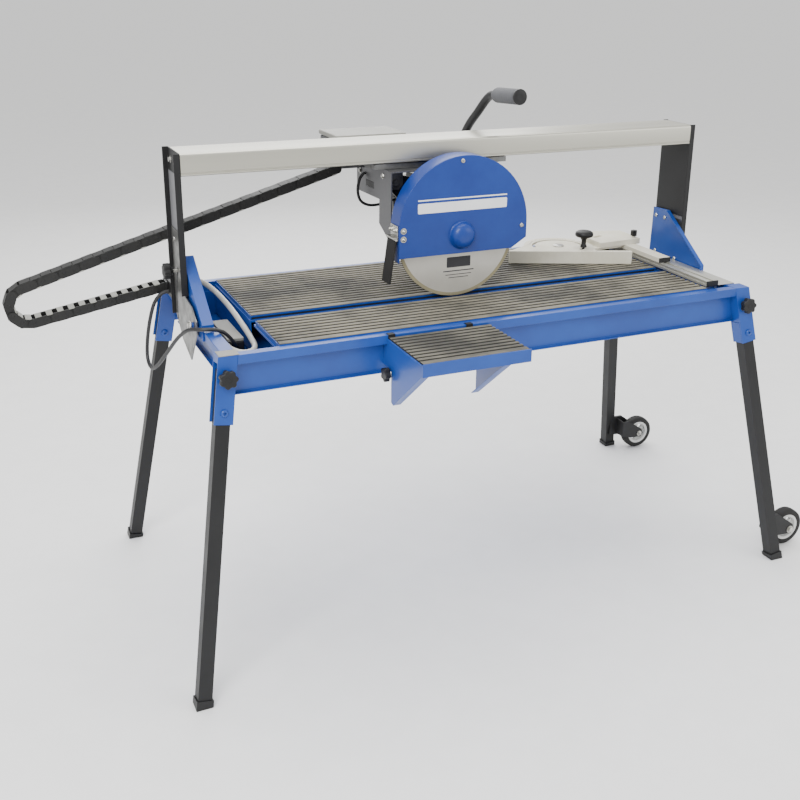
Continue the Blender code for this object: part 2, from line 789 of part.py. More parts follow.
def make_handle(pivot):
    route = [
        (HANDLE_X, 0.0210, HANDLE_LOW_Z),
        (HANDLE_X, 0.0900, HANDLE_LOW_Z),
        (HANDLE_X, 0.1600, HANDLE_LOW_Z + 0.002),
        (HANDLE_X, 0.2100, 0.970),
        (HANDLE_X, 0.2330, 1.005),
        (HANDLE_X, 0.2250, 1.045),
        (HANDLE_X, 0.1960, 1.080),
        (HANDLE_X, 0.1500, 1.117),
        (HANDLE_X, 0.1120, 1.148),
        (HANDLE_X, 0.0860, 1.1630),
        (HANDLE_X, 0.0605, 1.1665),
    ]
    tube("handle_tube", route, 0.0105, 0.016, pivot, "black_paint", resolution=3)
    grip = rod((HANDLE_X, 0.0600, 1.1665), (HANDLE_X, -0.0570, 1.1735), 0.0185, 32)
    solid("handle_grip", grip, pivot, "black_plastic")


def make_flap(parent):
    """The rubber flap that hangs from the left of the guard, leaning a little outwards."""
    axis = Vector((-0.2020, -0.0725, 0.872))
    pivot = empty("splash_flap_axis", axis, parent)
    lean = Matrix.Translation(axis) @ Matrix.Rotation(math.radians(8), 4, "Y")
    flap = box((-0.0025, -0.0215, -0.102), (0.0025, 0.0215, 0.004), lean)
    return solid("splash_flap", flap, pivot, "black_plastic")


def make_blade(pivot):
    centre = BLADE_CENTRE
    half = BLADE_THICKNESS / 2
    front, rear = centre.y - half, centre.y + half

    def at(level):
        return (centre.x, level, centre.z)

    disc = solid("blade", rod(at(front), at(rear), BLADE_RADIUS, 72), pivot, "blade_steel")
    cut(disc, rod(at(front - 0.01), at(rear + 0.01), 0.0103, 24))
    shaft = solid("spindle", rod(at(-0.0900), at(-0.0060), 0.0100, 32), pivot, "zinc_steel")
    add(
        shaft,
        rod(at(rear + GAP), at(-0.0600), 0.035, 32),
        rod(at(front - GAP), at(front - 0.0065), 0.035, 32),
        rod(at(front - 0.0060), at(front - 0.0150), 0.016, 6),
    )


# --- Legs and wheels -----------------------------------------------------------------------------------------


def make_leg(name, side, end):
    place, origin, up = leg_axes(side, end)
    pivot = empty("leg_" + name + "_axis", origin, machine)
    low = -(LEG_PIVOT_Z - LEG_END_Z) / up.z
    shape = box((-LEG_HALF, -LEG_HALF, low), (LEG_HALF, LEG_HALF, LEG_ABOVE_PIVOT), place)
    leg = solid("leg_" + name, shape, pivot, "black_paint")
    bore = LEG_HALF - TUBE_WALL
    cut(leg, box((-bore, -bore, low - 0.02), (bore, bore, LEG_ABOVE_PIVOT - 0.004), place))

    foot_top = -(LEG_PIVOT_Z - FOOT_HEIGHT) / up.z
    foot_low = -(LEG_PIVOT_Z + 0.02) / up.z
    cap = box((-FOOT_HALF, -FOOT_HALF, foot_low), (FOOT_HALF, FOOT_HALF, foot_top), place)
    foot = solid("foot_" + name, cap, pivot, "black_plastic")
    socket = LEG_HALF + GAP
    below = (side * LEG_FOOT[0], end * LEG_FOOT[1])
    cut(
        foot,
        box((-socket, -socket, low - GAP), (socket, socket, 0.0), place),
        box((below[0] - 0.06, below[1] - 0.06, -0.08), (below[0] + 0.06, below[1] + 0.06, 0.0)),
    )

    knob_pivot = empty("leg_knob_" + name + "_axis", origin + up * KNOB_ABOVE_PIVOT, machine)
    pin = place.to_3x3() @ Vector((0, end, 0))
    face = origin + up * KNOB_ABOVE_PIVOT + pin * (0.018 + GAP)
    star_knob("leg_knob_" + name, face, pin, knob_pivot, stem=0.006, radius=0.021)
    return leg, pivot


def make_wheel(name, end, leg, pivot):
    """A wheel outboard of a right leg, in a fork whose axle and plates belong to the leg."""
    centre = Vector((WHEEL_CENTRE.x, end * WHEEL_CENTRE.y, WHEEL_CENTRE.z))
    plate = [
        (0.742, 0.046),
        (0.800, 0.042),
        (0.836, 0.040),
        (0.844, 0.052),
        (0.838, 0.066),
        (0.785, 0.105),
        (0.742, 0.105),
    ]
    inner = end * (WHEEL_CENTRE.y + WHEEL_WIDTH / 2 + 0.0025)
    outer = end * 0.3600
    axle_end = end * 0.3165
    fork = [(0.766, 0.050)] + plate[1:5] + [(0.785, 0.100), (0.766, 0.100)]
    add(
        leg,
        sheet("XZ", inner, outer, plate),
        sheet("XZ", end * 0.3150, end * 0.3180, fork),
        box((0.766, end * 0.3150, 0.050), (0.769, end * 0.3580, 0.100)),
        rod((centre.x, inner + end * 0.001, centre.z), (centre.x, axle_end, centre.z), 0.006, 24),
    )
    wheel_pivot = empty(name + "_axis", centre, pivot)
    half = Vector((0, WHEEL_WIDTH / 2, 0))
    wheel = solid(name, rod(centre - half, centre + half, WHEEL_RADIUS, 40), wheel_pivot, "black_plastic")
    return cut(wheel, rod(centre - half * 2, centre + half * 2, 0.0063, 24))


# --- Angle stop and fence ------------------------------------------------------------------------------------


def stop_knob_place():
    angle = STOP_KNOB_ANGLE
    reach = STOP_SLOT_RADIUS
    return (STOP_PIVOT.x + reach * math.cos(angle), STOP_PIVOT.y + reach * math.sin(angle))


def make_angle_stop():
    solid(
        "fence_profile",
        box((PROFILE_LEFT_X, -0.255, MAT_TOP_Z + 0.0004), (PROFILE_RIGHT_X, 0.245, PROFILE_TOP_Z)),
        material="aluminium",
    )
    slide = empty("angle_stop_slide", STOP_PIVOT, machine)
    slider_left, slider_right = PROFILE_LEFT_X - 0.002, PROFILE_RIGHT_X - 0.001
    base = solid(
        "angle_stop_base",
        box((slider_left, -0.063, PROFILE_TOP_Z + GAP), (slider_right, 0.200, SLIDER_TOP_Z)),
        slide,
        "cast_aluminium",
    )
    block = [(0.472, 0.085), (0.604, 0.092), (0.606, 0.190), (0.535, 0.213), (0.472, 0.165)]
    window = [(0.492, 0.140), (0.524, 0.150), (0.520, 0.163), (0.488, 0.153)]
    tongue = [(0.330, 0.108), (0.405, 0.084), (0.545, 0.092), (0.545, 0.180), (0.400, 0.168), (0.335, 0.145)]
    low = SLIDER_TOP_Z - 0.006
    add(
        base,
        sheet("XY", SLIDER_TOP_Z - 0.001, 0.7640, block, window),
        sheet("XY", low, SLIDER_TOP_Z, tongue),
        box((0.500, 0.095, low + 0.001), (0.560, 0.175, SLIDER_TOP_Z + 0.004)),
    )

    turning = empty("angle_fence_axis", STOP_PIVOT, slide)
    radius = 0.092
    outline = [(-0.137, -0.060), (0.185, -0.060), (0.185, -0.046), (radius, -0.046)]
    outline += arc((0, 0), radius, 0.0, math.pi, 24)
    outline += [(-0.128, -0.046)]
    turned = Matrix.Translation((STOP_PIVOT.x, STOP_PIVOT.y, 0)) @ Matrix.Rotation(STOP_ANGLE, 4, "Z")
    knob_in_fence = STOP_KNOB_ANGLE - STOP_ANGLE
    start, end = knob_in_fence - math.radians(24), knob_in_fence + math.radians(200)
    slot = arc_slot((0, 0), STOP_SLOT_RADIUS, 0.0042, start, end, 24)
    plate = sheet("XY", SLIDER_TOP_Z + GAP, 0.7570, outline, slot)
    plate.transform(turned)
    fence = solid("angle_fence", plate, turning, "cast_aluminium")
    add(fence, box((-0.137, -0.060, MAT_TOP_Z + 0.0007), (0.185, -0.046, 0.7570), turned))

    knob_x, knob_y = stop_knob_place()
    knob_axis = empty("angle_knob_axis", (knob_x, knob_y, 0.780), slide)

    def at(level):
        return (knob_x, knob_y, level)

    knob = solid("angle_knob", rod(at(0.7860), at(0.8020), 0.024, 32, 0.021), knob_axis, "black_plastic")
    add(
        knob,
        rod(at(0.7573), at(0.7900), 0.008, 24, 0.011),
        rod(at(SLIDER_TOP_Z + GAP), at(0.7600), 0.0034, 16),
    )


# --- Extension table -----------------------------------------------------------------------------------------


def make_extension():
    pivot = empty("extension_slide", (0.0, EXTENSION_REAR_Y, EXTENSION_TOP_Z), machine)
    left, right = EXTENSION_LEFT_X, EXTENSION_RIGHT_X
    front, rear, top = EXTENSION_FRONT_Y, EXTENSION_REAR_Y, EXTENSION_TOP_Z
    table = solid("extension_table", box((left, front, top - 0.003), (right, rear, top)), pivot, "blue_paint")
    hook = -WEB_Y - 0.0035
    side = [
        (rear, top - 0.001),
        (front, top - 0.001),
        (front, 0.690),
        (-0.314, 0.572),
        (-0.304, 0.576),
        (-0.304, 0.650),
        (hook, 0.650),
        (hook, 0.698),
        (rear, 0.698),
    ]
    fold = [(front, 0.690), (-0.314, 0.572), (-0.3131, 0.5732), (front, 0.6919)]
    bracket_x = right - 0.041
    return add(
        table,
        box((left, front - 0.003, 0.688), (right, front, top + 0.004)),
        box((left, rear - 0.0028, 0.655), (right, rear, top - 0.001)),
        sheet("YZ", left, left + SHEET, side),
        sheet("YZ", bracket_x - SHEET, bracket_x, side),
        sheet("YZ", left, left + 0.018, fold),
        sheet("YZ", bracket_x - 0.018, bracket_x, fold),
    )


# --- Assembly ------------------------------------------------------------------------------------------------

make_tray()
make_rails()
make_table()
make_gusset("left_gusset", -1, 0.022)
make_gusset("right_gusset", 1, 0.008)
make_pump()
tube("pump_hose", HOSE_ROUTE, HOSE_RADIUS, 0.016, machine, "cream_hose", resolution=3)
tube("pump_cable", CABLE_ROUTE, CABLE_RADIUS, 0.014, machine, "black_plastic")

portal = empty("portal_axis", TILT_AXIS, machine)
carriage = empty("carriage_slide", (HEAD_PIVOT.x, BEAM_MIDDLE_Y, BEAM_BOTTOM_Z), portal)
chain_bend = empty("chain_loop_slide", (CHAIN_CENTRE[0], CHAIN_Y, CHAIN_CENTRE[1]), portal)
head = empty("head_axis", HEAD_PIVOT, carriage)
blade_axis = empty("blade_axis", BLADE_CENTRE, head)

make_beam(portal)
for post_name, plate_name, hand in (
    ("left_post", "left_tilt_plate", -1),
    ("right_post", "right_tilt_plate", 1),
):
    make_post(post_name, hand, portal)
    make_tilt_plate(plate_name, hand, portal)
make_tilt_knob("tilt_knob_left", -1)
make_tilt_knob("tilt_knob_right", 1)
make_chain(portal, carriage, chain_bend)
make_carriage(carriage)
make_motor_bracket(carriage)
make_switch_box(carriage)
make_swing_arm(head)
make_motor(head)
make_guard(head)
make_handle(head)
make_flap(head)
make_blade(blade_axis)

for corner, hand, row in CORNERS:
    make_leg_bracket(corner, hand, row)
    corner_leg, leg_axis = make_leg(corner, hand, row)
    if hand > 0:
        make_wheel("wheel_" + corner.split("_")[0], row, corner_leg, leg_axis)
make_angle_stop()
make_extension()
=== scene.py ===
# %% [markdown]
# # A bridge tile cutter, piece by piece
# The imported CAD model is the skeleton: every named node already has its real size, its place and its joint.
# This lesson dresses that skeleton. Sheet metal gets folded, softened edges and powder coat, the mats get
# their ribs, the chain its links and the motor its fins. Lengths are metres unless a name says otherwise.

import json
import math

import bmesh
import bpy
from mathutils import Matrix, Vector

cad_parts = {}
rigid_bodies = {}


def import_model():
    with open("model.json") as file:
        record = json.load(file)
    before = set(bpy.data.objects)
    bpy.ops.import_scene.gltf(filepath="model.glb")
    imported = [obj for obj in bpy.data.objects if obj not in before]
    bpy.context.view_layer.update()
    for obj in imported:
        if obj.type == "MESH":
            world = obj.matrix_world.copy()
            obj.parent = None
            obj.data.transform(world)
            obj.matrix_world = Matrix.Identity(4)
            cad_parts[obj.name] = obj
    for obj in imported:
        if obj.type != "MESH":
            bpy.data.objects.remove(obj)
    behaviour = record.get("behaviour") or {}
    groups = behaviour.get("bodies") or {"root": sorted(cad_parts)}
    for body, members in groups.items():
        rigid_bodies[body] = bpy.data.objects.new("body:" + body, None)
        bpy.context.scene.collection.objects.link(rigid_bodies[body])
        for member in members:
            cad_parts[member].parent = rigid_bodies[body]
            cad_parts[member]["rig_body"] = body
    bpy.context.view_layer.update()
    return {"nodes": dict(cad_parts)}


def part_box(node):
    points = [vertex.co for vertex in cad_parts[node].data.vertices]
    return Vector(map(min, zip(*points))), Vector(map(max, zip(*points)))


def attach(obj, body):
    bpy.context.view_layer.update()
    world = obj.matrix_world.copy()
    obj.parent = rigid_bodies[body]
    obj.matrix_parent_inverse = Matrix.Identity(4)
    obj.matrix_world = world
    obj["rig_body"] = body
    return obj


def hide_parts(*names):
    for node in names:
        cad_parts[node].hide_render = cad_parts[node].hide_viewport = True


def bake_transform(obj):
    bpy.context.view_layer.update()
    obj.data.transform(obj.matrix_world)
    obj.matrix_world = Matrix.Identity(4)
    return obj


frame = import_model()
tray_low, tray_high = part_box("water_tray")
HOME = Vector(((tray_low.x + tray_high.x) / 2, (tray_low.y + tray_high.y) / 2, 0.0))
scene = bpy.context.scene
print("table middle", [round(value, 4) for value in HOME], "nodes", len(frame["nodes"]))

# %% [markdown]
# ## The camera and the room
# All pieces are drawn about the middle of the table and moved by HOME when they are finished. The camera
# stands at the operator's left and looks down over the beam. Its axes are written out from yaw, pitch and
# roll, because a matrix of three axes is easier to check than a chain of rotations.

# %% Camera
CAMERA_PLACE = Vector((-1.12695, -2.22898, 1.44350))
CAMERA_YAW, CAMERA_PITCH, CAMERA_ROLL = (math.radians(angle) for angle in (-24.288, -19.124, 0.618))

forward = Vector(
    (
        -math.sin(CAMERA_YAW) * math.cos(CAMERA_PITCH),
        math.cos(CAMERA_YAW) * math.cos(CAMERA_PITCH),
        math.sin(CAMERA_PITCH),
    )
)
level = Vector((math.cos(CAMERA_YAW), math.sin(CAMERA_YAW), 0.0))
upright = level.cross(forward)
right = level * math.cos(CAMERA_ROLL) + upright * math.sin(CAMERA_ROLL)
up = upright * math.cos(CAMERA_ROLL) - level * math.sin(CAMERA_ROLL)
lens = bpy.data.cameras.new("camera")
lens.sensor_width = 36.0
lens.lens = 47.76
lens.shift_x = -0.01297
lens.shift_y = -0.07511
lens.clip_end = 200.0
camera = bpy.data.objects.new("camera", lens)
scene.collection.objects.link(camera)
camera.matrix_world = Matrix.Translation(CAMERA_PLACE + HOME) @ Matrix(
    (right, up, -forward)
).transposed().to_4x4()
scene.camera = camera
print("camera at", [round(value, 3) for value in camera.matrix_world.translation])

# %% [markdown]
# Soft studio light is several big area lamps over a pale world. Big lamps give wide, gentle highlights
# along folded edges, which is what makes painted sheet metal read as metal.

# %% Lights and world
SOFTBOXES = [
    ("key", (-2.4, -2.6, 3.4), 2.2, 170.0),
    ("fill", (2.8, -2.8, 2.2), 2.4, 35.0),
    ("top", (0.2, 0.6, 3.8), 3.0, 120.0),
    ("rim", (1.0, 3.4, 2.4), 2.4, 60.0),
]
for name, place, size, power in SOFTBOXES:
    lamp = bpy.data.lights.new(name, "AREA")
    lamp.shape = "SQUARE"
    lamp.size = size
    lamp.energy = power
    holder = bpy.data.objects.new(name, lamp)
    scene.collection.objects.link(holder)
    aim = Vector((0.0, 0.0, 0.75)) - Vector(place)
    holder.matrix_world = Matrix.Translation(place) @ aim.to_track_quat("-Z", "Y").to_matrix().to_4x4()
world = bpy.data.worlds.new("studio")
world.use_nodes = True
world.node_tree.nodes["Background"].inputs["Color"].default_value = (1.0, 1.0, 1.0, 1.0)
world.node_tree.nodes["Background"].inputs["Strength"].default_value = 1.05
scene.world = world
print("lamps", len(SOFTBOXES))

# %% [markdown]
# ## Materials
# A colour picked from a screen is sRGB, while shaders want linear light, so one function converts every hex
# value. One small function adds a node with its settings and its links, and one surface recipe covers
# paint, metal, rubber and plastic: two close shades mixed by slow patches, a roughness that drifts with the
# same patches, and a fine grain for the bump. What makes a finish read as itself is the numbers that go in.

# %% Colour and node helpers
def linear(hex_colour):
    """A linear RGBA colour from an sRGB hex value."""
    values = [int(hex_colour[place : place + 2], 16) / 255 for place in (1, 3, 5)]
    return [v / 12.92 if v <= 0.04045 else ((v + 0.055) / 1.055) ** 2.4 for v in values] + [1.0]


def add_node(tree, kind, links=None, **settings):
    """A shader node with its settings, and its inputs set or linked by name or number."""
    made = tree.nodes.new("ShaderNode" + kind)
    for key, value in settings.items():
        setattr(made, key, value)
    for key, value in (links or {}).items():
        if isinstance(value, bpy.types.NodeSocket):
            tree.links.new(value, made.inputs[key])
        else:
            made.inputs[key].default_value = value
    return made


def new_material(name):
    made = bpy.data.materials.new(name)
    made.use_nodes = True
    tree = made.node_tree
    return made, tree, tree.nodes["Principled BSDF"]


def surface(
    name,
    shades,
    rough,
    grain_mm,
    bump_mm=0.0,
    metallic=0.0,
    patch_mm=90.0,
    stretch=(1.0, 1.0, 1.0),
    coat=0.0,
    specular=0.5,
):
    """A finish from two shades, a roughness range, and a grain given by its real size."""
    made, tree, shader = new_material(name)
    where = add_node(tree, "TexCoord").outputs["Object"]
    drawn = add_node(tree, "Mapping", {"Vector": where, "Scale": stretch}).outputs["Vector"]
    patches = add_node(
        tree, "TexNoise", {"Vector": drawn, "Scale": 1000 / patch_mm, "Detail": 4.0, "Roughness": 0.6}
    ).outputs["Fac"]
    grain = add_node(
        tree, "TexNoise", {"Vector": drawn, "Scale": 1000 / grain_mm, "Detail": 3.0, "Roughness": 0.55}
    ).outputs["Fac"]
    even = add_node(
        tree, "MapRange", {"Value": patches, "From Min": 0.35, "From Max": 0.65}
    ).outputs["Result"]
    colour = add_node(
        tree, "Mix", {0: even, 6: linear(shades[0]), 7: linear(shades[1])}, data_type="RGBA"
    ).outputs[2]
    tree.links.new(colour, shader.inputs["Base Color"])
    gloss = add_node(
        tree,
        "MapRange",
        {"Value": patches, "From Min": 0.3, "From Max": 0.7, "To Min": rough[0], "To Max": rough[1]},
    ).outputs["Result"]
    tree.links.new(gloss, shader.inputs["Roughness"])
    shader.inputs["Metallic"].default_value = metallic
    shader.inputs["Coat Weight"].default_value = coat
    shader.inputs["Specular IOR Level"].default_value = specular
    shader.inputs["Coat Roughness"].default_value = 0.12
    if bump_mm:
        relief = add_node(tree, "Bump", {"Height": grain, "Distance": bump_mm / 1000, "Strength": 0.6})
        tree.links.new(relief.outputs["Normal"], shader.inputs["Normal"])
    return made


# %% [markdown]
# The frame is powder coat: dry paint baked on, so it is even and glossy with a faint orange peel a
# millimetre or two across. The legs and posts are black powder coat of a coarser kind. Zinc-plated steel is
# cloudy, and the anodised beam carries the long fine lines of its extrusion, so its grain is stretched
# along X.

# %% Finishes
FINISH = {
    "blue_coat": surface(
        "powder_coat_blue", ("#143E8C", "#184697"), (0.30, 0.42), 2.0, 0.03, coat=0.12, specular=0.4
    ),
    "guard_coat": surface(
        "powder_coat_guard_blue", ("#11327F", "#153988"), (0.32, 0.42), 2.0, 0.03, coat=0.10, specular=0.35
    ),
    "black_coat": surface(
        "powder_coat_black", ("#131314", "#1A1A1B"), (0.42, 0.56), 1.4, 0.06, specular=0.35
    ),
    "primer_grey": surface("primer_coat_grey", ("#67676A", "#737376"), (0.45, 0.58), 1.6, 0.04),
    "beam_aluminium": surface(
        "anodised_aluminium", ("#C4C2B6", "#B4B2A6"), (0.30, 0.40), 1.6, 0.015, 0.85, 140.0, (0.02, 1.0, 1.0)
    ),
    "strip_aluminium": surface(
        "rolled_aluminium", ("#CBCAC2", "#BDBCB3"), (0.32, 0.42), 1.2, 0.012, 0.8, 60.0, (1.0, 0.03, 1.0)
    ),
    "zinc": surface("zinc_plated_steel", ("#868684", "#6C6C6A"), (0.30, 0.48), 5.0, 0.02, 0.85, 26.0),
    "dark_zinc": surface(
        "black_passivated_zinc", ("#58585A", "#68686A"), (0.34, 0.50), 5.0, 0.02, 0.75, 34.0
    ),
    "bright_zinc": surface(
        "bright_zinc_fastener", ("#C2C1BC", "#A3A29C"), (0.20, 0.36), 2.0, 0.01, 0.95, 12.0
    ),
    "cast": surface("painted_die_casting", ("#DAD6C6", "#CFCAB8"), (0.42, 0.56), 1.6, 0.05, 0.0, 50.0),
    "moulded": surface("moulded_nylon_black", ("#0E0E0F", "#161617"), (0.40, 0.55), 0.9, 0.05, specular=0.4),
    "chain_nylon": surface(
        "moulded_chain_nylon", ("#151515", "#1F1F1E"), (0.45, 0.60), 1.1, 0.05, specular=0.35
    ),
    "chain_bar": surface("moulded_chain_bar_grey", ("#8C8C86", "#9A9A93"), (0.40, 0.52), 1.1, 0.04),
    "grip_foam": surface("foam_rubber_grip", ("#505154", "#5F6063"), (0.75, 0.90), 1.0, 0.25),
    "grey_abs": surface("moulded_abs_grey", ("#3E3F41", "#48494B"), (0.42, 0.52), 1.2, 0.05),
    "pale_abs": surface("moulded_abs_pale", ("#77766F", "#828179"), (0.40, 0.50), 1.2, 0.05),
    "tyre": surface("tyre_rubber", ("#171717", "#21201F"), (0.60, 0.78), 1.4, 0.08, specular=0.35),
    "rim": surface("moulded_wheel_grey", ("#BFC0BE", "#CBCBC8"), (0.38, 0.48), 1.4, 0.04),
    "cable": surface("pvc_cable_black", ("#161618", "#202022"), (0.40, 0.55), 1.6, 0.03),
    "hose": surface("vinyl_hose_cream", ("#C4C2B8", "#ABA99F"), (0.22, 0.34), 3.0, 0.02, coat=0.3),
    "print": surface("screen_print_white", ("#E9EAEC", "#DFE0E2"), (0.40, 0.48), 1.5),
    "ink": surface("screen_print_black", ("#26262A", "#303034"), (0.45, 0.55), 1.5),
    "cast_black": surface("cast_housing_black", ("#151517", "#1F1F21"), (0.45, 0.62), 1.6, 0.12),
}
print("finishes", len(FINISH))

# %% [markdown]
# The mats are ribbed nitrile rubber with stone dust rubbed into the crowns, and painted shade in the grooves:
# the groove walls and floors, and the mats' edge faces, are painted near black. Both come from the surface's
# own height, since every mat lies level: near the crown the paler dusty colour takes over.

# %% Ribbed rubber
def ribbed_rubber(name, crown_z, dusty=("#645F53", "#85806F")):
    made, tree, shader = new_material(name)
    where = add_node(tree, "TexCoord").outputs["Object"]
    height = add_node(tree, "SeparateXYZ", {"Vector": where}).outputs["Z"]
    # Height mask: 1 on the rib crowns, 0 from 1.4 mm below them down, where the painted groove shade goes.
    crown = add_node(
        tree,
        "MapRange",
        {"Value": height, "From Min": crown_z - 0.0014, "From Max": crown_z - 0.0003},
    ).outputs["Result"]
    long = add_node(tree, "Mapping", {"Vector": where, "Scale": (0.06, 1.0, 1.0)}).outputs["Vector"]
    streaks = add_node(tree, "TexNoise", {"Vector": long, "Scale": 260.0, "Detail": 4.0}).outputs["Fac"]
    clouds = add_node(
        tree, "TexNoise", {"Vector": where, "Scale": 5.0, "Detail": 5.0, "Roughness": 0.65}
    ).outputs["Fac"]
    dust = add_node(
        tree, "Mix", {0: streaks, 6: linear(dusty[0]), 7: linear(dusty[1])}, data_type="RGBA"
    ).outputs[2]
    wiped = add_node(
        tree, "MapRange", {"Value": clouds, "From Min": 0.38, "From Max": 0.58}
    ).outputs["Result"]
    tops = add_node(tree, "Mix", {0: wiped, 6: linear("#35332B"), 7: dust}, data_type="RGBA").outputs[2]
    # Painted shade: below the crowns the colour goes to near black #100F0C, in the grooves and on the mat
    # edges.
    colour = add_node(tree, "Mix", {0: crown, 6: linear("#100F0C"), 7: tops}, data_type="RGBA").outputs[2]
    tree.links.new(colour, shader.inputs["Base Color"])
    rough = add_node(tree, "MapRange", {"Value": clouds, "To Min": 0.50, "To Max": 0.78}).outputs["Result"]
    tree.links.new(rough, shader.inputs["Roughness"])
    relief = add_node(tree, "Bump", {"Height": streaks, "Distance": 0.0003, "Strength": 0.7})
    tree.links.new(relief.outputs["Normal"], shader.inputs["Normal"])
    return made


# %% [markdown]
# The blade's core is sheet steel ground flat on a turning table, which leaves rings. Rings come from the
# distance to the blade's centre, fed to a noise texture as its only coordinate that changes quickly.

# %% Ground blade steel
TILT_AXIS = (-0.0703, 0.7236)
BLADE_CENTRE = Vector((-0.038, TILT_AXIS[0], 0.870))


def ground_steel(name, shades, rough, metallic):
    made, tree, shader = new_material(name)
    where = add_node(tree, "TexCoord").outputs["Object"]
    centre = BLADE_CENTRE + HOME
    out = add_node(
        tree, "VectorMath", {0: where, 1: centre}, operation="DISTANCE"
    ).outputs["Value"]
    rings = add_node(tree, "CombineXYZ", {"X": out}).outputs["Vector"]
    grind = add_node(tree, "TexNoise", {"Vector": rings, "Scale": 900.0, "Detail": 3.0}).outputs["Fac"]
    stain = add_node(tree, "TexNoise", {"Vector": where, "Scale": 18.0, "Detail": 4.0}).outputs["Fac"]
    mixed = add_node(tree, "Math", {0: grind, 1: stain}, operation="MULTIPLY").outputs["Value"]
    share = add_node(tree, "MapRange", {"Value": mixed, "From Min": 0.1, "From Max": 0.4}).outputs["Result"]
    colour = add_node(
        tree, "Mix", {0: share, 6: linear(shades[0]), 7: linear(shades[1])}, data_type="RGBA"
    ).outputs[2]
    tree.links.new(colour, shader.inputs["Base Color"])
    gloss = add_node(
        tree, "MapRange", {"Value": grind, "To Min": rough[0], "To Max": rough[1]}
    ).outputs["Result"]
    tree.links.new(gloss, shader.inputs["Roughness"])
    shader.inputs["Metallic"].default_value = metallic
    relief = add_node(tree, "Bump", {"Height": grind, "Distance": 0.00003, "Strength": 0.5})
    tree.links.new(relief.outputs["Normal"], shader.inputs["Normal"])
    return made


FINISH["blade_core"] = ground_steel("ground_blade_steel", ("#D2CFC6", "#C0BDB4"), (0.30, 0.44), 0.60)
FINISH["blade_rim"] = ground_steel("sintered_diamond_rim", ("#A59D80", "#8E8669"), (0.45, 0.62), 0.5)
print("blade finishes ready")

# %% [markdown]
# ## Shape helpers
# Four makers' moves cover nearly everything here: cut a flat outline and give it thickness, turn a profile
# on a lathe, bend a tube along a route, and finish a CAD node by softening its edges. A folded sheet edge
# is never razor sharp, and the small bevel is what catches the light.

# %% From mesh to named piece
def sealed(bm):
    bmesh.ops.remove_doubles(bm, verts=bm.verts, dist=1e-7)
    bmesh.ops.recalc_face_normals(bm, faces=bm.faces)
    return bm


def piece(name, bm, finish, body, bevel=0.0, replaces=(), place=HOME, segments=2, smooth_deg=34):
    """A finished piece: its mesh moved home, its finish, its soft edges and the CAD body that it rides on."""
    mesh = bpy.data.meshes.new(name)
    sealed(bm).to_mesh(mesh)
    bm.free()
    mesh.transform(Matrix.Translation(place))
    mesh.materials.append(FINISH[finish] if isinstance(finish, str) else finish)
    mesh.shade_smooth()
    mesh.set_sharp_from_angle(angle=math.radians(smooth_deg))
    made = bpy.data.objects.new(name, mesh)
    scene.collection.objects.link(made)
    if bevel:
        rounding = made.modifiers.new("soft edges", "BEVEL")
        rounding.width = bevel
        rounding.segments = segments
        rounding.limit_method = "ANGLE"
        rounding.angle_limit = math.radians(34)
        rounding.harden_normals = True
    if body:
        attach(made, body)
    if replaces:
        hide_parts(*replaces)
    return made


def finished(node, finish, bevel=0.0007, segments=2):
    """A CAD node with its flat faces made whole and its edges softened, in place of the plain one."""
    source = frame["nodes"][node]
    bm = bmesh.new()
    bm.from_mesh(source.data)
    bmesh.ops.remove_doubles(bm, verts=bm.verts, dist=2e-6)
    bmesh.ops.dissolve_limit(bm, angle_limit=math.radians(0.6), verts=bm.verts, edges=bm.edges)
    return piece(
        node + "_finished", bm, finish, source["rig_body"], bevel, (node,), Vector((0, 0, 0)), segments
    )


# %% Flat stock, boxes and turned work
AXES = {
    "XY": Matrix.Identity(4),
    "XZ": Matrix(((1, 0, 0, 0), (0, 0, -1, 0), (0, 1, 0, 0), (0, 0, 0, 1))),
    "YZ": Matrix(((0, 0, 1, 0), (1, 0, 0, 0), (0, 1, 0, 0), (0, 0, 0, 1))),
}
NORMALS = {"XY": Vector((0, 0, 1)), "XZ": Vector((0, 1, 0)), "YZ": Vector((1, 0, 0))}


def stock(plane, low, high, *outlines):
    """A flat outline, with any further outlines as holes, between two levels of the plane's normal."""
    curve = bpy.data.curves.new("stock", "CURVE")
    curve.dimensions = "2D"
    curve.fill_mode = "BOTH"
    curve.extrude = abs(high - low) / 2
    for outline in outlines:
        spline = curve.splines.new("POLY")
        spline.points.add(len(outline) - 1)
        spline.use_cyclic_u = True
        for point, (across, height) in zip(spline.points, outline):
            point.co = (across, height, 0.0, 1.0)
    drawn = bpy.data.objects.new("stock", curve)
    scene.collection.objects.link(drawn)
    bpy.context.view_layer.update()
    graph = bpy.context.evaluated_depsgraph_get()
    mesh = bpy.data.meshes.new_from_object(drawn.evaluated_get(graph))
    bpy.data.objects.remove(drawn)
    bm = bmesh.new()
    bm.from_mesh(mesh)
    bpy.data.meshes.remove(mesh)
    bmesh.ops.remove_doubles(bm, verts=bm.verts, dist=1e-6)
    bmesh.ops.dissolve_limit(bm, angle_limit=math.radians(0.6), verts=bm.verts, edges=bm.edges)
    shift = Matrix.Translation(NORMALS[plane] * (low + high) / 2)
    bm.transform(shift @ AXES[plane])
    return bm


def facing(along):
    """The turn that points Z along a direction."""
    return Vector(along).to_track_quat("Z", "Y").to_matrix().to_4x4()


def boxes(*corners):
    """Several boxes, each between two corners, in one mesh."""
    bm = bmesh.new()
    for low, high in corners:
        made = bmesh.ops.create_cube(bm, size=1.0)["verts"]
        low, high = Vector(low), Vector(high)
        bmesh.ops.scale(bm, vec=[abs(side) for side in high - low], verts=made)
        bmesh.ops.translate(bm, vec=(low + high) / 2, verts=made)
    return bm


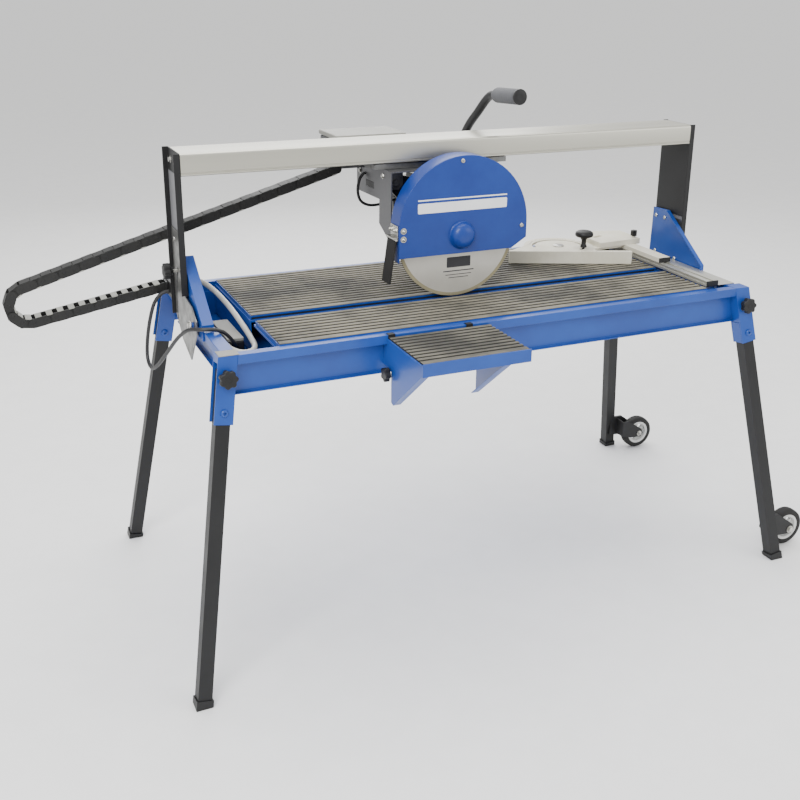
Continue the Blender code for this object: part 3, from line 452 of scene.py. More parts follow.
def turned(profile, origin=(0, 0, 0), along=(0, 0, 1), steps=40):
    """A lathe: (radius, height) pairs turned about an axis. A radius of nothing closes the end."""
    bm = bmesh.new()
    rings = []
    for radius, height in profile:
        if radius < 1e-7:
            rings.append([bm.verts.new((0, 0, height))])
            continue
        angles = [2 * math.pi * step / steps for step in range(steps)]
        rings.append([bm.verts.new((radius * math.cos(a), radius * math.sin(a), height)) for a in angles])
    for one, other in zip(rings, rings[1:]):
        for step in range(steps):
            corner = [one[step % len(one)], one[(step + 1) % len(one)]]
            corner += [other[(step + 1) % len(other)], other[step % len(other)]]
            around = list(dict.fromkeys(corner))
            if len(around) > 2:
                bm.faces.new(around)
    bm.transform(Matrix.Translation(Vector(origin)) @ facing(along))
    return bm


def joined(*meshes):
    """Several meshes as one."""
    whole = meshes[0]
    for other in meshes[1:]:
        carried = bpy.data.meshes.new("carried")
        other.to_mesh(carried)
        other.free()
        whole.from_mesh(carried)
        bpy.data.meshes.remove(carried)
    return whole


# %% Tubes along a route
def smooth_route(route, step):
    """Points about one step apart on a smooth curve through the route."""
    points = [Vector(point) for point in route]
    ends = [points[0] * 2 - points[1], *points, points[-1] * 2 - points[-2]]
    found = []
    for before, start, end, after in zip(ends, ends[1:], ends[2:], ends[3:]):
        pieces = max(1, round((end - start).length / step))
        for number in range(pieces):
            t = number / pieces
            bend = (before * 2 - start * 5 + end * 4 - after) * t**2
            twist = (start * 3 - before - end * 3 + after) * t**3
            found.append((start * 2 + (end - before) * t + bend + twist) / 2)
    return found + [points[-1]]


def swept(points, radius, sides=12):
    """A round tube through the points, closed at both ends. Each ring is carried on, so it never twists."""
    bm = bmesh.new()
    heading = (points[1] - points[0]).normalized()
    side = heading.orthogonal().normalized()
    rings = []
    for number, point in enumerate(points):
        ahead = points[min(number + 1, len(points) - 1)] - points[max(number - 1, 0)]
        ahead.normalize()
        side = (side - ahead * side.dot(ahead)).normalized()
        other = ahead.cross(side)
        ring = []
        for step in range(sides):
            angle = 2 * math.pi * step / sides
            ring.append(bm.verts.new(point + (side * math.cos(angle) + other * math.sin(angle)) * radius))
        rings.append(ring)
    for one, two in zip(rings, rings[1:]):
        for step in range(sides):
            after = (step + 1) % sides
            bm.faces.new((one[step], one[after], two[after], two[step]))
    bm.faces.new(reversed(rings[0]))
    bm.faces.new(rings[-1])
    return bm


def arc(centre, radius, start_deg, end_deg, steps):
    turns = [math.radians(start_deg + (end_deg - start_deg) * step / steps) for step in range(steps + 1)]
    return [(centre[0] + radius * math.cos(turn), centre[1] + radius * math.sin(turn)) for turn in turns]


def circle(centre, radius, steps=24):
    return arc(centre, radius, 0, 360, steps)[:-1]


print("helpers ready")

# %% [markdown]
# ## Hose and cables
# Three limp lines belong to the machine. A vinyl hose brings water from the pump in the tray to the chain,
# a thin rubber cable feeds the pump, and a short loop feeds the motor. Each runs out of one piece and into
# another, so each is a tube along one smooth route. The first two cross the tilt hinge and the third
# crosses the plunge hinge, each drawn in one pose and attached to no body.

# %% Hose and cables
HOSE_ROUTE = [
    (-0.6620, 0.1500, 0.7525),
    (-0.6480, 0.1502, 0.7540),
    (-0.6200, 0.1500, 0.7615),
    (-0.5930, 0.141, 0.756),
    (-0.5720, 0.108, 0.741),
    (-0.5600, 0.050, 0.7265),
    (-0.5530, -0.008, 0.7125),
    (-0.5490, -0.060, 0.7000),
    (-0.5480, -0.110, 0.6900),
    (-0.5520, -0.150, 0.6860),
    (-0.5660, -0.174, 0.6850),
    (-0.5860, -0.176, 0.6850),
    (-0.6010, -0.158, 0.6860),
    (-0.6070, -0.122, 0.6870),
    (-0.6090, -0.075, 0.6850),
    (-0.6095, -0.030, 0.6760),
    (-0.6095, 0.012, 0.6605),
    (-0.6095, 0.032, 0.6582),
    (-0.6095, 0.0495, 0.6580),
]
CABLE_ROUTE = [
    (-0.6735, 0.120, 0.748),
    (-0.6900, 0.120, 0.745),
    (-0.7080, 0.122, 0.724),
    (-0.7200, 0.130, 0.680),
    (-0.7280, 0.135, 0.630),
    (-0.7320, 0.125, 0.592),
    (-0.7300, 0.095, 0.578),
    (-0.7240, 0.055, 0.596),
    (-0.7120, 0.005, 0.638),
    (-0.6960, -0.050, 0.690),
    (-0.6810, -0.095, 0.7215),
    (-0.6600, -0.124, 0.7292),
    (-0.6360, -0.132, 0.7287),
    (-0.6160, -0.135, 0.7225),
    (-0.5980, -0.131, 0.7030),
    (-0.5850, -0.116, 0.6825),
    (-0.5820, -0.0965, 0.6765),
]
MOTOR_LOOP_ROUTE = [
    (-0.1910, 0.120, 0.9900),
    (-0.2020, 0.122, 0.9780),
    (-0.2080, 0.124, 0.9500),
    (-0.2000, 0.128, 0.9220),
    (-0.1780, 0.132, 0.9080),
    (-0.1500, 0.136, 0.9060),
    (-0.1250, 0.138, 0.9110),
    (-0.1030, 0.140, 0.9160),
]


def free_cord(name, route, step, radius, finish, nodes=()):
    points = [point + HOME for point in smooth_route(route, step)]
    cord = piece(name, swept(points, radius), finish, None, place=Vector((0, 0, 0)))
    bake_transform(cord)
    if nodes:
        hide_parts(*nodes)


free_cord(
    "water_hose", HOSE_ROUTE, 0.012, 0.0065, "hose",
    ("pump_hose",),
)
free_cord(
    "pump_lead", CABLE_ROUTE, 0.010, 0.0042, "cable",
    ("pump_cable",),
)
free_cord(
    "motor_lead", MOTOR_LOOP_ROUTE, 0.008, 0.0035, "cable",
)

# %% [markdown]
# ## The floor
# A pale floor runs far past the machine, so that its edge never shows.

# %% Floor
floor_mesh = bmesh.new()
bmesh.ops.create_grid(floor_mesh, x_segments=1, y_segments=1, size=60.0)
floor_data = bpy.data.meshes.new("floor")
floor_mesh.to_mesh(floor_data)
floor_mesh.free()
floor_data.materials.append(surface("studio_floor", ("#F4F4F3", "#F1F1F0"), (0.55, 0.60), 40.0))
floor = bpy.data.objects.new("floor", floor_data)
scene.collection.objects.link(floor)
floor.location.z = -0.0005

# %% [markdown]
# ## Frame and tray
# Rails, panels and brackets are laser-cut sheet, folded and painted. Their CAD shapes are right already, so
# each is finished rather than redrawn: flat faces made whole, edges rounded by less than the sheet's
# thickness.

# %% Painted sheet metal
for node in ("water_tray", "front_panel", "rear_panel", "left_gusset", "right_gusset", "extension_table"):
    finished(node, "blue_coat", 0.0006)
for node in ("front_rail", "rear_rail", "left_rail", "right_rail"):
    finished(node, "blue_coat", 0.0011, segments=3)
CORNERS = [
    ("front_left", -1, -1),
    ("rear_left", -1, 1),
    ("front_right", 1, -1),
    ("rear_right", 1, 1),
]
for corner, _, _ in CORNERS:
    finished("leg_bracket_" + corner, "blue_coat", 0.0008)

# %% [markdown]
# ## Ribbed mats
# A moulded mat has rounded ribs every 18 mm with narrow grooves between them, running along the cut so that
# a tile slides easily past the blade. One rib profile is repeated across the mat and drawn out along X.

# %% Mats
RIB_PITCH = 0.018
GROOVE_DEPTH = 0.0034


def ribbed_mat(name, node, finish, body, low=None, high=None):
    """A mat with ribs along X, between two corners or in the place of a CAD node."""
    if node:
        low, high = (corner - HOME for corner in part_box(node))
    crown, root = high[2], high[2] - GROOVE_DEPTH
    count = max(3, round((high[1] - low[1]) / RIB_PITCH))
    pitch = (high[1] - low[1]) / count
    outline = [(low[1], low[2])]
    for number in range(count):
        left = low[1] + number * pitch
        rib = [(0.00, root), (0.34, root), (0.38, crown - 0.0010), (0.42, crown)]
        rib += [(0.60, crown), (0.92, crown), (0.96, crown - 0.0010), (1.00, root)]
        if number == 0:
            rib = [(0.0, crown - 0.0005), (0.08, crown)] + rib[4:]
        if number == count - 1:
            rib = rib[:5] + [(0.92, crown), (1.0, crown - 0.0005)]
        outline += [(left + share * pitch, level) for share, level in rib]
    outline.append((high[1], low[2]))
    clean = [point for number, point in enumerate(outline) if number == 0 or point != outline[number - 1]]
    bm = stock("YZ", low[0], high[0], clean)
    return piece(name, bm, finish, body, replaces=(node,) if node else (), smooth_deg=60)


table_rubber = ribbed_rubber("nitrile_mat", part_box("rear_mat")[1].z)
ribbed_mat("front_ribbed_mat", "front_mat", table_rubber, "frame")
ribbed_mat("rear_ribbed_mat", "rear_mat", table_rubber, "frame")
extension_low, extension_high = (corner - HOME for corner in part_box("extension_table"))
shelf_top = extension_high.z - 0.004
side_rubber = ribbed_rubber("nitrile_side_mat", shelf_top + 0.0042, ("#4B483F", "#726E60"))
side_mat = ribbed_mat(
    "extension_ribbed_mat",
    None,
    side_rubber,
    "extension",
    (extension_low.x + 0.003, extension_low.y + 0.0045, shelf_top + 0.0002),
    (extension_high.x - 0.003, -0.2845, shelf_top + 0.0042),
)
print("mat ribs", round(0.309 / RIB_PITCH))

# %% [markdown]
# Each mat lies in a shallow tray folded up from its panel. A thin wall runs round the mat, a little lower
# than the ribs, and reaches down to the panel on three sides. Along the slot only its upper part is drawn.

# %% Folded rims of the panels
WALL_GAP, WALL_OUT, WALL_SHOWN, WALL_DROP, WALL_FOOT = 0.0004, 0.0018, 0.0050, 0.0016, 0.0004


def grown_outline(low, high, grow):
    """The outline round two corners, moved outwards."""
    left, right_side, front, rear = low.x - grow, high.x + grow, low.y - grow, high.y + grow
    return [(left, front), (right_side, front), (right_side, rear), (left, rear)]


for node in ("front_mat", "rear_mat"):
    low, high = (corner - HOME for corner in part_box(node))
    rim_outlines = grown_outline(low, high, WALL_OUT), grown_outline(low, high, WALL_GAP)
    wall = stock("XY", high.z - WALL_SHOWN, high.z - WALL_DROP, *rim_outlines)
    foot, top = low.z + WALL_FOOT, high.z - WALL_SHOWN
    if node == "front_mat":
        outer_y = (low.y - WALL_OUT, low.y - WALL_GAP)
    else:
        outer_y = (high.y + WALL_GAP, high.y + WALL_OUT)
    skirt = boxes(
        ((low.x - WALL_OUT, low.y - WALL_OUT, foot), (low.x - WALL_GAP, high.y + WALL_OUT, top)),
        ((high.x + WALL_GAP, low.y - WALL_OUT, foot), (high.x + WALL_OUT, high.y + WALL_OUT, top)),
        ((low.x - WALL_GAP, outer_y[0], foot), (high.x + WALL_GAP, outer_y[1], top)),
    )
    piece(node.replace("mat", "panel") + "_rim", joined(wall, skirt), "blue_coat", "frame", bevel=0.0004)

# %% [markdown]
# ## Fasteners
# Bolts hold everything here, and a bolt head is three simple things: a thin washer, a hexagon with a turned
# chamfer, and sometimes a dome. All bolts of one body are gathered in one mesh, so they stay easy to place.

# %% Bolts
def hex_bolt(point, along, across=0.010, dome=False):
    """A washer and a hexagon head across the flats given, sitting on a point and facing outwards."""
    corner = across / math.sqrt(3)
    tall = across * 0.42
    washer = turned([(0, 0), (across * 0.85, 0), (across * 0.85, 0.0011), (0, 0.0011)], point, along, 24)
    head_profile = [(0, 0.001), (corner, 0.001), (corner, 0.001 + tall * 0.85), (corner * 0.84, 0.001 + tall)]
    head = turned([*head_profile, (0, 0.001 + tall)], point, along, 6)
    if not dome:
        return joined(washer, head)
    cap = [
        (across * 0.42 * math.cos(a), 0.001 + tall + across * 0.40 * math.sin(a))
        for a in (0, 0.5, 1.0, 1.35)
    ]
    return joined(
        washer,
        head,
        turned([(0, 0.001 + tall * 0.5), *cap, (0, 0.001 + tall + across * 0.40)], point, along, 20),
    )


def button_screw(point, along, radius=0.0045):
    """A low domed screw with a blind hexagon socket."""
    profile = [(0, 0.0), (radius, 0.0), (radius, radius * 0.25), (radius * 0.8, radius * 0.52)]
    profile += [(radius * 0.42, radius * 0.62), (radius * 0.40, radius * 0.2), (0, radius * 0.2)]
    return turned(profile, point, along, 18)


def leg_frame(side, end):
    """A leg's frame at its fold axis: Z up the leg and Y along the pin."""
    foot = Vector((side * 0.7576, end * 0.3834, 0.0))
    top = Vector((side * 0.644, end * 0.263, 0.720))
    rise = (top - foot).normalized()
    pin = (Vector((0, 1, 0)) - rise * rise.y).normalized()
    turn = Matrix((pin.cross(rise), pin, rise)).transposed().to_4x4()
    return Matrix.Translation(foot + rise * (0.605 / rise.z)) @ turn


frame_bolts, painted_rivets = [], []
for corner, side, end in CORNERS:
    leg = leg_frame(side, end)
    outward = leg.to_3x3() @ Vector((0, end, 0))
    painted_rivets.append(button_screw(leg @ Vector((0, end * 0.018, 0.0)), outward, 0.008))
    painted_rivets.append(button_screw(leg @ Vector((0, -end * 0.018, 0.0)), -outward, 0.008))
for side in (-1, 1):
    frame_bolts.append(hex_bolt(Vector((side * 0.670, *TILT_AXIS)), (side, 0, 0), 0.013))
    for across, high in ((0.055, 0.825), (0.092, 0.825), (0.0, 0.725), (0.085, 0.728)):
        frame_bolts.append(button_screw(Vector((side * 0.6523, across, high)), (-side, 0, 0), 0.005))
for across in (-0.40, 0.0, 0.40):
    frame_bolts.append(button_screw(Vector((across, 0.2621, 0.665)), (0, 1, 0), 0.005))
piece("frame_bolts", joined(*frame_bolts), "bright_zinc", "frame")
piece("leg_pin_rivets", joined(*painted_rivets), "blue_coat", "frame", smooth_deg=60)
print("frame bolts", len(frame_bolts))

# %% [markdown]
# ## Legs, feet and lock knobs
# The legs are square tube with a coarse black coat and moulded end caps. Each folds on a cross pin inside
# its bracket, and a star knob above the pin clamps it. The knob is a lobed outline, rounded over, on a
# turned hub with a screw head set into its face.

# %% Legs
for corner, _, _ in CORNERS:
    finished("leg_" + corner, "black_coat", 0.0018, segments=3)
    finished("foot_" + corner, "moulded", 0.0012, segments=3)
for corner, side, end in CORNERS:
    inward = sorted((-side * 0.0153, -side * 0.0201))
    skirt = boxes(((inward[0], -0.0146, -0.0235), (inward[1], 0.0146, 0.0290)))
    skirt.transform(leg_frame(side, end))
    piece("leg_skirt_" + corner, skirt, "blue_coat", "leg_" + corner, bevel=0.0007)


def star_outline(lobes, radius, depth, steps=10):
    found = []
    for step in range(lobes * steps):
        angle = 2 * math.pi * step / (lobes * steps)
        reach = radius - depth * (0.5 - 0.5 * math.cos(lobes * angle)) ** 1.4
        found.append((reach * math.cos(angle), reach * math.sin(angle)))
    return found


def star_knob(name, node, body, origin, along, stem, radius):
    """A star knob in the place of its CAD node, facing along its axis."""
    place = Matrix.Translation(Vector(origin)) @ facing(along)
    head = stock("XY", stem, stem + 0.0155, star_outline(7, radius * 0.93, 0.0034))
    knob = piece(
        name, head, "moulded", None, bevel=0.0026, segments=4, smooth_deg=50, place=Vector((0, 0, 0))
    )
    knob.data.transform(Matrix.Translation(HOME) @ place)
    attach(knob, body)
    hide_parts(node)
    hub = [(0, 0), (0.0088, 0), (0.0088, stem - 0.001), (0.0100, stem + 0.001), (0, stem + 0.001)]
    face = [(0, stem + 0.0150), (0.0070, stem + 0.0150), (0.0070, stem + 0.0159), (0.0052, stem + 0.0159)]
    face += [(0.0050, stem + 0.0152), (0, stem + 0.0152)]
    trim = joined(turned(hub, steps=28), turned(face, steps=24))
    trim.transform(place)
    piece(name + "_hub", trim, "moulded", body)
    return knob


for corner, side, end in CORNERS:
    leg = leg_frame(side, end)
    outward = leg.to_3x3() @ Vector((0, end, 0))
    node = "leg_knob_" + corner
    star_knob(node + "_star", node, node, leg @ Vector((0, end * 0.0183, 0.0708)), outward, 0.006, 0.021)

LOCK_REACH, LOCK_ANGLE = 0.155, math.radians(35)
LOCK_Y = TILT_AXIS[0] + LOCK_REACH * math.cos(LOCK_ANGLE)
LOCK_Z = TILT_AXIS[1] + LOCK_REACH * math.sin(LOCK_ANGLE)
for side, hand in ((-1, "left"), (1, "right")):
    node = "tilt_knob_" + hand
    star_knob(node + "_star", node, node, (side * 0.6745, LOCK_Y, LOCK_Z), (side, 0, 0), 0.006, 0.020)
    stud = turned(
        [(0, 0), (0.004, 0), (0.004, 0.020), (0, 0.020)], (side * 0.656, LOCK_Y, LOCK_Z), (side, 0, 0), 20
    )
    piece(node + "_stud", stud, "bright_zinc", node)
print("knobs 6")

# %% [markdown]
# ## Transport wheels
# A small moulded wheel has a round-shouldered rubber tyre on a pale plastic rim with lightening holes, and
# turns on a bolt. The tyre and the rim are two lathe profiles, and the spokes are cut from a flat ring.

# %% Wheels
WHEEL_X, WHEEL_Y, WHEEL_Z = 0.830, 0.335, 0.052
for name, end in (("front", -1), ("rear", 1)):
    body = "wheel_" + name
    centre = (WHEEL_X, end * WHEEL_Y, WHEEL_Z)
    tyre_profile = [(0.036, -0.0125), (0.0455, -0.0140), (0.0488, -0.0115), (0.0499, -0.0060), (0.0500, 0.0)]
    tyre_profile += [(0.0499, 0.0060), (0.0488, 0.0115), (0.0455, 0.0140), (0.036, 0.0125), (0.036, -0.0125)]
    piece(
        body + "_tyre",
        turned(tyre_profile, centre, (0, 1, 0), 56),
        "tyre",
        body,
        replaces=(body,),
        smooth_deg=50,
    )
    rim_profile = [
        (0.0285, -0.0115), (0.0357, -0.0125), (0.0357, 0.0125), (0.0285, 0.0115), (0.0285, -0.0115)
    ]
    hub_profile = [(0.0066, -0.0138), (0.0115, -0.0138), (0.0125, -0.0090), (0.0125, 0.0090)]
    hub_profile += [(0.0115, 0.0138), (0.0066, 0.0138), (0.0066, -0.0138)]
    windows = []
    for number in range(6):
        middle = 60 * number
        inner, outer = arc(
            (0, 0), 0.0150, middle - 17, middle + 17, 5
        ), arc((0, 0), 0.0262, middle + 21, middle - 21, 6)
        windows.append(inner + outer)
    disc = stock("XY", -0.004, 0.004, circle((0, 0), 0.0292, 48), circle((0, 0), 0.0120, 24), *windows)
    disc.transform(Matrix.Translation(centre) @ facing((0, 1, 0)))
    rim = joined(turned(rim_profile, centre, (0, 1, 0), 48), turned(hub_profile, centre, (0, 1, 0), 28))
    piece(body + "_rim", rim, "rim", body, bevel=0.0006)
    piece(body + "_spokes", disc, "rim", body, bevel=0.0008)
    nuts = [hex_bolt(Vector((WHEEL_X, end * 0.3600, WHEEL_Z)), (0, end, 0), 0.012)]
    nuts.append(hex_bolt(Vector((WHEEL_X, end * 0.3150, WHEEL_Z)), (0, -end, 0), 0.010, dome=True))
    piece(body + "_axle_nuts", joined(*nuts), "bright_zinc", "leg_" + name + "_right")
print("wheels 2")

# %% [markdown]
# ## Portal: beam, posts and tilt plates
# The beam is one aluminium extrusion, drawn through a die with round outer corners and a slot along its
# underside. The profile is drawn once, with quarter circles at the corners, and pulled out along X.

# %% Guide beam
beam_low, beam_high = (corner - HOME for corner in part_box("guide_beam"))


def rounded_corner(across, high, radius, start_deg):
    return arc((across, high), radius, start_deg, start_deg + 90, 5)


CROWN, FOOT, WALL = 0.0065, 0.0022, 0.003
front_y, rear_y, low_z, high_z = beam_low.y, beam_high.y, beam_low.z, beam_high.z
slot_front, slot_rear = (front_y + rear_y) / 2 - 0.025, (front_y + rear_y) / 2 + 0.025
beam_outline = rounded_corner(front_y + CROWN, high_z - CROWN, CROWN, 90)
beam_outline += [
    (front_y, low_z + 0.0075), (front_y + 0.0012, low_z + 0.0067), (front_y + 0.0012, low_z + 0.0051)
]
beam_outline += [(front_y, low_z + 0.0043)] + rounded_corner(front_y + FOOT, low_z + FOOT, FOOT, 180)
beam_outline += [
    (slot_front, low_z),
    (slot_front, low_z + WALL),
    (front_y + WALL, low_z + WALL),
    (front_y + WALL, high_z - WALL),
    (rear_y - WALL, high_z - WALL),
    (rear_y - WALL, low_z + WALL),
    (slot_rear, low_z + WALL),
    (slot_rear, low_z),
]
beam_outline += rounded_corner(rear_y - FOOT, low_z + FOOT, FOOT, 270)
beam_outline += rounded_corner(rear_y - CROWN, high_z - CROWN, CROWN, 0)
piece(
    "guide_beam_extrusion",
    stock("YZ", beam_low.x, beam_high.x, beam_outline),
    "beam_aluminium",
    "portal",
    replaces=("guide_beam",),
)

# %% Posts and plates
for hand in ("left", "right"):
    finished(hand + "_post", "black_coat", 0.0009)
    finished(hand + "_tilt_plate", "zinc", 0.0005)
portal_bolts = []
for side in (-1, 1):
    liner = sorted((side * 0.6606, side * 0.6612))
    grey_web = boxes(((liner[0], -0.0075, 0.8300), (liner[1], 0.1015, 1.0300)))
    piece(("left" if side < 0 else "right") + "_post_web", grey_web, "primer_grey", "portal")
    for across, high in ((0.018, 1.056), (0.075, 1.056), (0.018, 0.880), (0.075, 0.880)):
        portal_bolts.append(hex_bolt(Vector((side * 0.6605, across, high)), (side, 0, 0), 0.010))
portal_bolts.append(hex_bolt(Vector((-0.672, 0.150, 0.7525)), (-1, 0, 0), 0.008))
piece("portal_bolts", joined(*portal_bolts), "bright_zinc", "portal")

# %% [markdown]
# The tilt plate carries an angle scale: short engraved lines every five degrees beside the slot, the
# longest at 0 and 45 degrees. Lines that are only ink are drawn as very thin solid bars, so they
# export as shape.

# %% Angle scale on the tilt plates
def radial_ticks(centre, radius, angles, lengths, plane, low, high, width=0.0007):
    bars = []
    for angle, length in zip(angles, lengths):
        way = Vector((math.cos(math.radians(angle)), math.sin(math.radians(angle))))
        across = Vector((-way.y, way.x)) * width / 2
        near, far = Vector(centre) + way * radius, Vector(centre) + way * (radius + length)
        bars.append(
            stock(
                plane,
                low,
                high,
                [tuple(near - across), tuple(far - across), tuple(far + across), tuple(near + across)],
            ),
        )
    return joined(*bars)


scale_angles = [35 - 5 * number for number in range(10)]
scale_lengths = [0.009 if number in (0, 9) else 0.005 for number in range(10)]
for side, hand in ((-1, "left"), (1, "right")):
    face = sorted((side * 0.66375, side * 0.66395))
    ticks = radial_ticks(TILT_AXIS, 0.140, scale_angles, scale_lengths, "YZ", *face)
    piece(hand + "_tilt_scale", ticks, "ink", "portal")
print("scale lines", 2 * len(scale_angles))

# %% [markdown]
# ## Energy chain
# The hose and leads ride in a drag chain: open nylon links, each two side plates and two cross bars, hinged
# at a pitch of 28 mm. One link is drawn flat and then set along the route, turned to the route's heading.
# When the carriage moves, the bend moves half as far; the straight runs are drawn in one place.

# %% Chain route
LINK_PITCH = 0.024
CHAIN_CENTRE = Vector((-0.977, 0.150, 0.744))
CHAIN_BEND = 0.041
BEND_SHARE = 0.970
BRACKET_X, CARRIAGE_X, END_ROOM = -0.6735, -0.246, 0.010
LOWER_SLOPE, UPPER_SLOPE = math.atan(0.1786), math.atan(0.294)
lower_heading = Vector((-math.cos(LOWER_SLOPE), 0, -math.sin(LOWER_SLOPE)))
upper_heading = Vector((math.cos(UPPER_SLOPE), 0, math.sin(UPPER_SLOPE)))
lower_turn = Vector((math.sin(LOWER_SLOPE), 0, -math.cos(LOWER_SLOPE)))
upper_turn = Vector((-math.sin(UPPER_SLOPE), 0, math.cos(UPPER_SLOPE)))
lower_join = CHAIN_CENTRE + lower_turn * CHAIN_BEND
upper_join = CHAIN_CENTRE + upper_turn * CHAIN_BEND


def link(outer, closed):
    """One link along X: two side plates, a full lid on its closed side (1 up, -1 down), and hinge bosses."""
    half, tall = LINK_PITCH / 2, 0.0112
    side = arc((half, 0), tall, -68, 68, 6) + arc((-half, 0), tall, 112, 248, 6)
    offset = 0.0174 if outer else 0.0147
    parts = [stock("XZ", way * offset - 0.0012, way * offset + 0.0012, side) for way in (-1, 1)]
    near, far = sorted((closed * 0.0090, closed * (0.0114 if outer else 0.0108)))
    reach = half - 0.0006
    parts.append(boxes(((-reach, -0.0165, near), (reach, 0.0165, far))))
    for way in (-1, 1):
        for end in (-1, 1):
            boss = [(0, 0), (0.0042, 0), (0.0036, 0.0008), (0, 0.0008)]
            if outer:
                parts.append(turned(boss, (end * half, way * 0.0186, 0), (0, way, 0), 14))
    return joined(*parts)


def open_bar(outer, closed):
    """The snap-in bar across a link's open side."""
    near, far = sorted((-closed * 0.0088, -closed * 0.0113))
    return boxes(((-0.0066, -0.0165, near), (0.0066, 0.0165, far)))


def laid_links(name, places, finish, body=None, replaces=(), closed=1, first=0, shape=link):
    """Links set at each place, a point and a heading, as one piece."""
    parts = []
    for number, (point, heading) in enumerate(places):
        made = shape((number + first) % 2 == 0, closed)
        side = Vector((0, 1, 0))
        turn = Matrix((heading, side, heading.cross(side))).transposed().to_4x4()
        made.transform(Matrix.Translation(point) @ turn)
        parts.append(made)
    return piece(name, joined(*parts), finish, body, replaces=replaces, smooth_deg=40)


def straight_places(start, heading, length):
    count = max(1, round(length / LINK_PITCH))
    step = length / count
    return [(start + heading * (step * (number + 0.5)), heading) for number in range(count)]


lower_length = (lower_join.x - BRACKET_X) / lower_heading.x
upper_length = (CARRIAGE_X - upper_join.x) / upper_heading.x
lower_places = straight_places(lower_join, -lower_heading, lower_length - END_ROOM)
upper_places = straight_places(upper_join, upper_heading, upper_length - END_ROOM)
bend_places = []
start_angle, end_angle = 90 + math.degrees(UPPER_SLOPE), 270 + math.degrees(LOWER_SLOPE)
bend_count = 5
for number in range(bend_count):
    angle = math.radians(start_angle + (end_angle - start_angle) * (number + 0.5) / bend_count)
    point = CHAIN_CENTRE + Vector((math.cos(angle), 0, math.sin(angle))) * CHAIN_BEND * BEND_SHARE
    bend_places.append((point, Vector((math.sin(angle), 0, -math.cos(angle)))))
lower_chain = laid_links("chain_lower_links", lower_places, "chain_nylon", None, ("chain_lower_run",), -1)
upper_chain = laid_links("chain_upper_links", upper_places, "chain_nylon", None, ("chain_upper_run",))
laid_links("chain_bend_links", bend_places, "chain_nylon", "chain_bend", ("chain_loop",), 1, 1)
lower_bars = laid_links("chain_lower_bars", lower_places, "chain_bar", None, (), -1, 0, open_bar)
upper_bars = laid_links("chain_upper_bars", upper_places, "chain_bar", None, (), 1, 0, open_bar)
laid_links("chain_bend_bars", bend_places, "chain_bar", "chain_bend", (), 1, 1, open_bar)
print("links", len(lower_places), len(bend_places), len(upper_places))

# %% [markdown]
# The straight runs are baked in place as drawn, and a moulded shoe closes the chain's fixed end.

# %% Chain runs baked in place
for run in (lower_chain, lower_bars):
    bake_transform(run)
for run in (upper_chain, upper_bars):
    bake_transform(run)
end_shoe = boxes(((-0.6775, 0.1315, 0.7385), (-0.6722, 0.1685, 0.7665)))
piece("chain_fixed_shoe", end_shoe, "moulded", "portal", bevel=0.0008)

# %% [markdown]
# ## Carriage and motor bracket
# The carriage is a plate under the beam whose neck passes through the slot to rollers inside. A folded
# steel bracket hangs from it and carries the hinge pin of the whole cutting head.

# %% Carriage and bracket
finished("carriage", "zinc", 0.0008)
finished("motor_bracket", "dark_zinc", 0.0007)
carriage_bolts = [
    hex_bolt(Vector((x, y, 1.0168)), (0, 0, -1), 0.009) for x in (0.030, 0.105) for y in (0.012, 0.076)
]
carriage_bolts += [
    hex_bolt(Vector((-0.190, y, z)), (-1, 0, 0), 0.008) for y, z in ((0.010, 1.000), (0.150, 0.990))
]
carriage_bolts += [hex_bolt(Vector((-0.165, 0.044, 0.985)), (0, 1, 0), 0.012)]
piece("carriage_bolts", joined(*carriage_bolts), "bright_zinc", "carriage")
window_plug = boxes(((-0.1898, 0.0655, 0.9605), (-0.1868, 0.1145, 0.9755)))
piece("bracket_window_plug", window_plug, "moulded", "carriage", bevel=0.0006)

# %% [markdown]
# The switch box is a moulded case with a paler lid that overhangs it, a framed rocker switch on the
# operator's side, and two glands where the leads go in.

# %% Switch box
box_low, box_high = (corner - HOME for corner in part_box("switch_box"))
LID_THICK = 0.011
case = boxes(
    (
        (box_low.x + 0.003, box_low.y + 0.003, box_low.z),
        (box_high.x - 0.003, box_high.y - 0.003, box_high.z - LID_THICK - 0.001),
    ),
)
piece("switch_case", case, "grey_abs", "carriage", bevel=0.004, segments=3, replaces=("switch_box",))
lid = boxes(((box_low.x, box_low.y, box_high.z - LID_THICK), (box_high.x, box_high.y, box_high.z)))
piece("switch_lid", lid, "pale_abs", "carriage", bevel=0.0035, segments=3)
frame_bezel = stock(
    "YZ", -0.0851, -0.0822,
    [(0.165, 1.0325), (0.205, 1.0325), (0.205, 1.0625), (0.165, 1.0625)],
    [(0.169, 1.0360), (0.201, 1.0360), (0.201, 1.0590), (0.169, 1.0590)],
)
piece("switch_bezel", frame_bezel, "moulded", "carriage", bevel=0.0008)
rocker_outline = [
    (-0.0890, 1.0365),
    (-0.0800, 1.0365),
    (-0.0792, 1.0400),
    (-0.0806, 1.0475),
    (-0.0792, 1.0550),
    (-0.0800, 1.0585),
    (-0.0890, 1.0585),
]
piece(
    "switch_rocker_cap",
    stock("XZ", 0.1695, 0.2005, rocker_outline),
    "moulded",
    "rocker",
    bevel=0.0008,
    replaces=("switch_rocker",),
)
lid_screws = [
    button_screw(Vector((x, y, 1.0768)), (0, 0, 1), 0.0035)
    for x in (-0.252, -0.092)
    for y in (0.131, 0.237)
]
piece("switch_lid_screws", joined(*lid_screws), "moulded", "carriage")
glands = []
for across in (0.150, 0.215):
    profile = [
        (0, 0), (0.0095, 0), (0.0095, 0.004), (0.0082, 0.005), (0.0082, 0.011), (0.0055, 0.013), (0, 0.013)
    ]
    glands.append(turned(profile, (-0.2495, across, 1.040), (-1, 0, 0), 20))
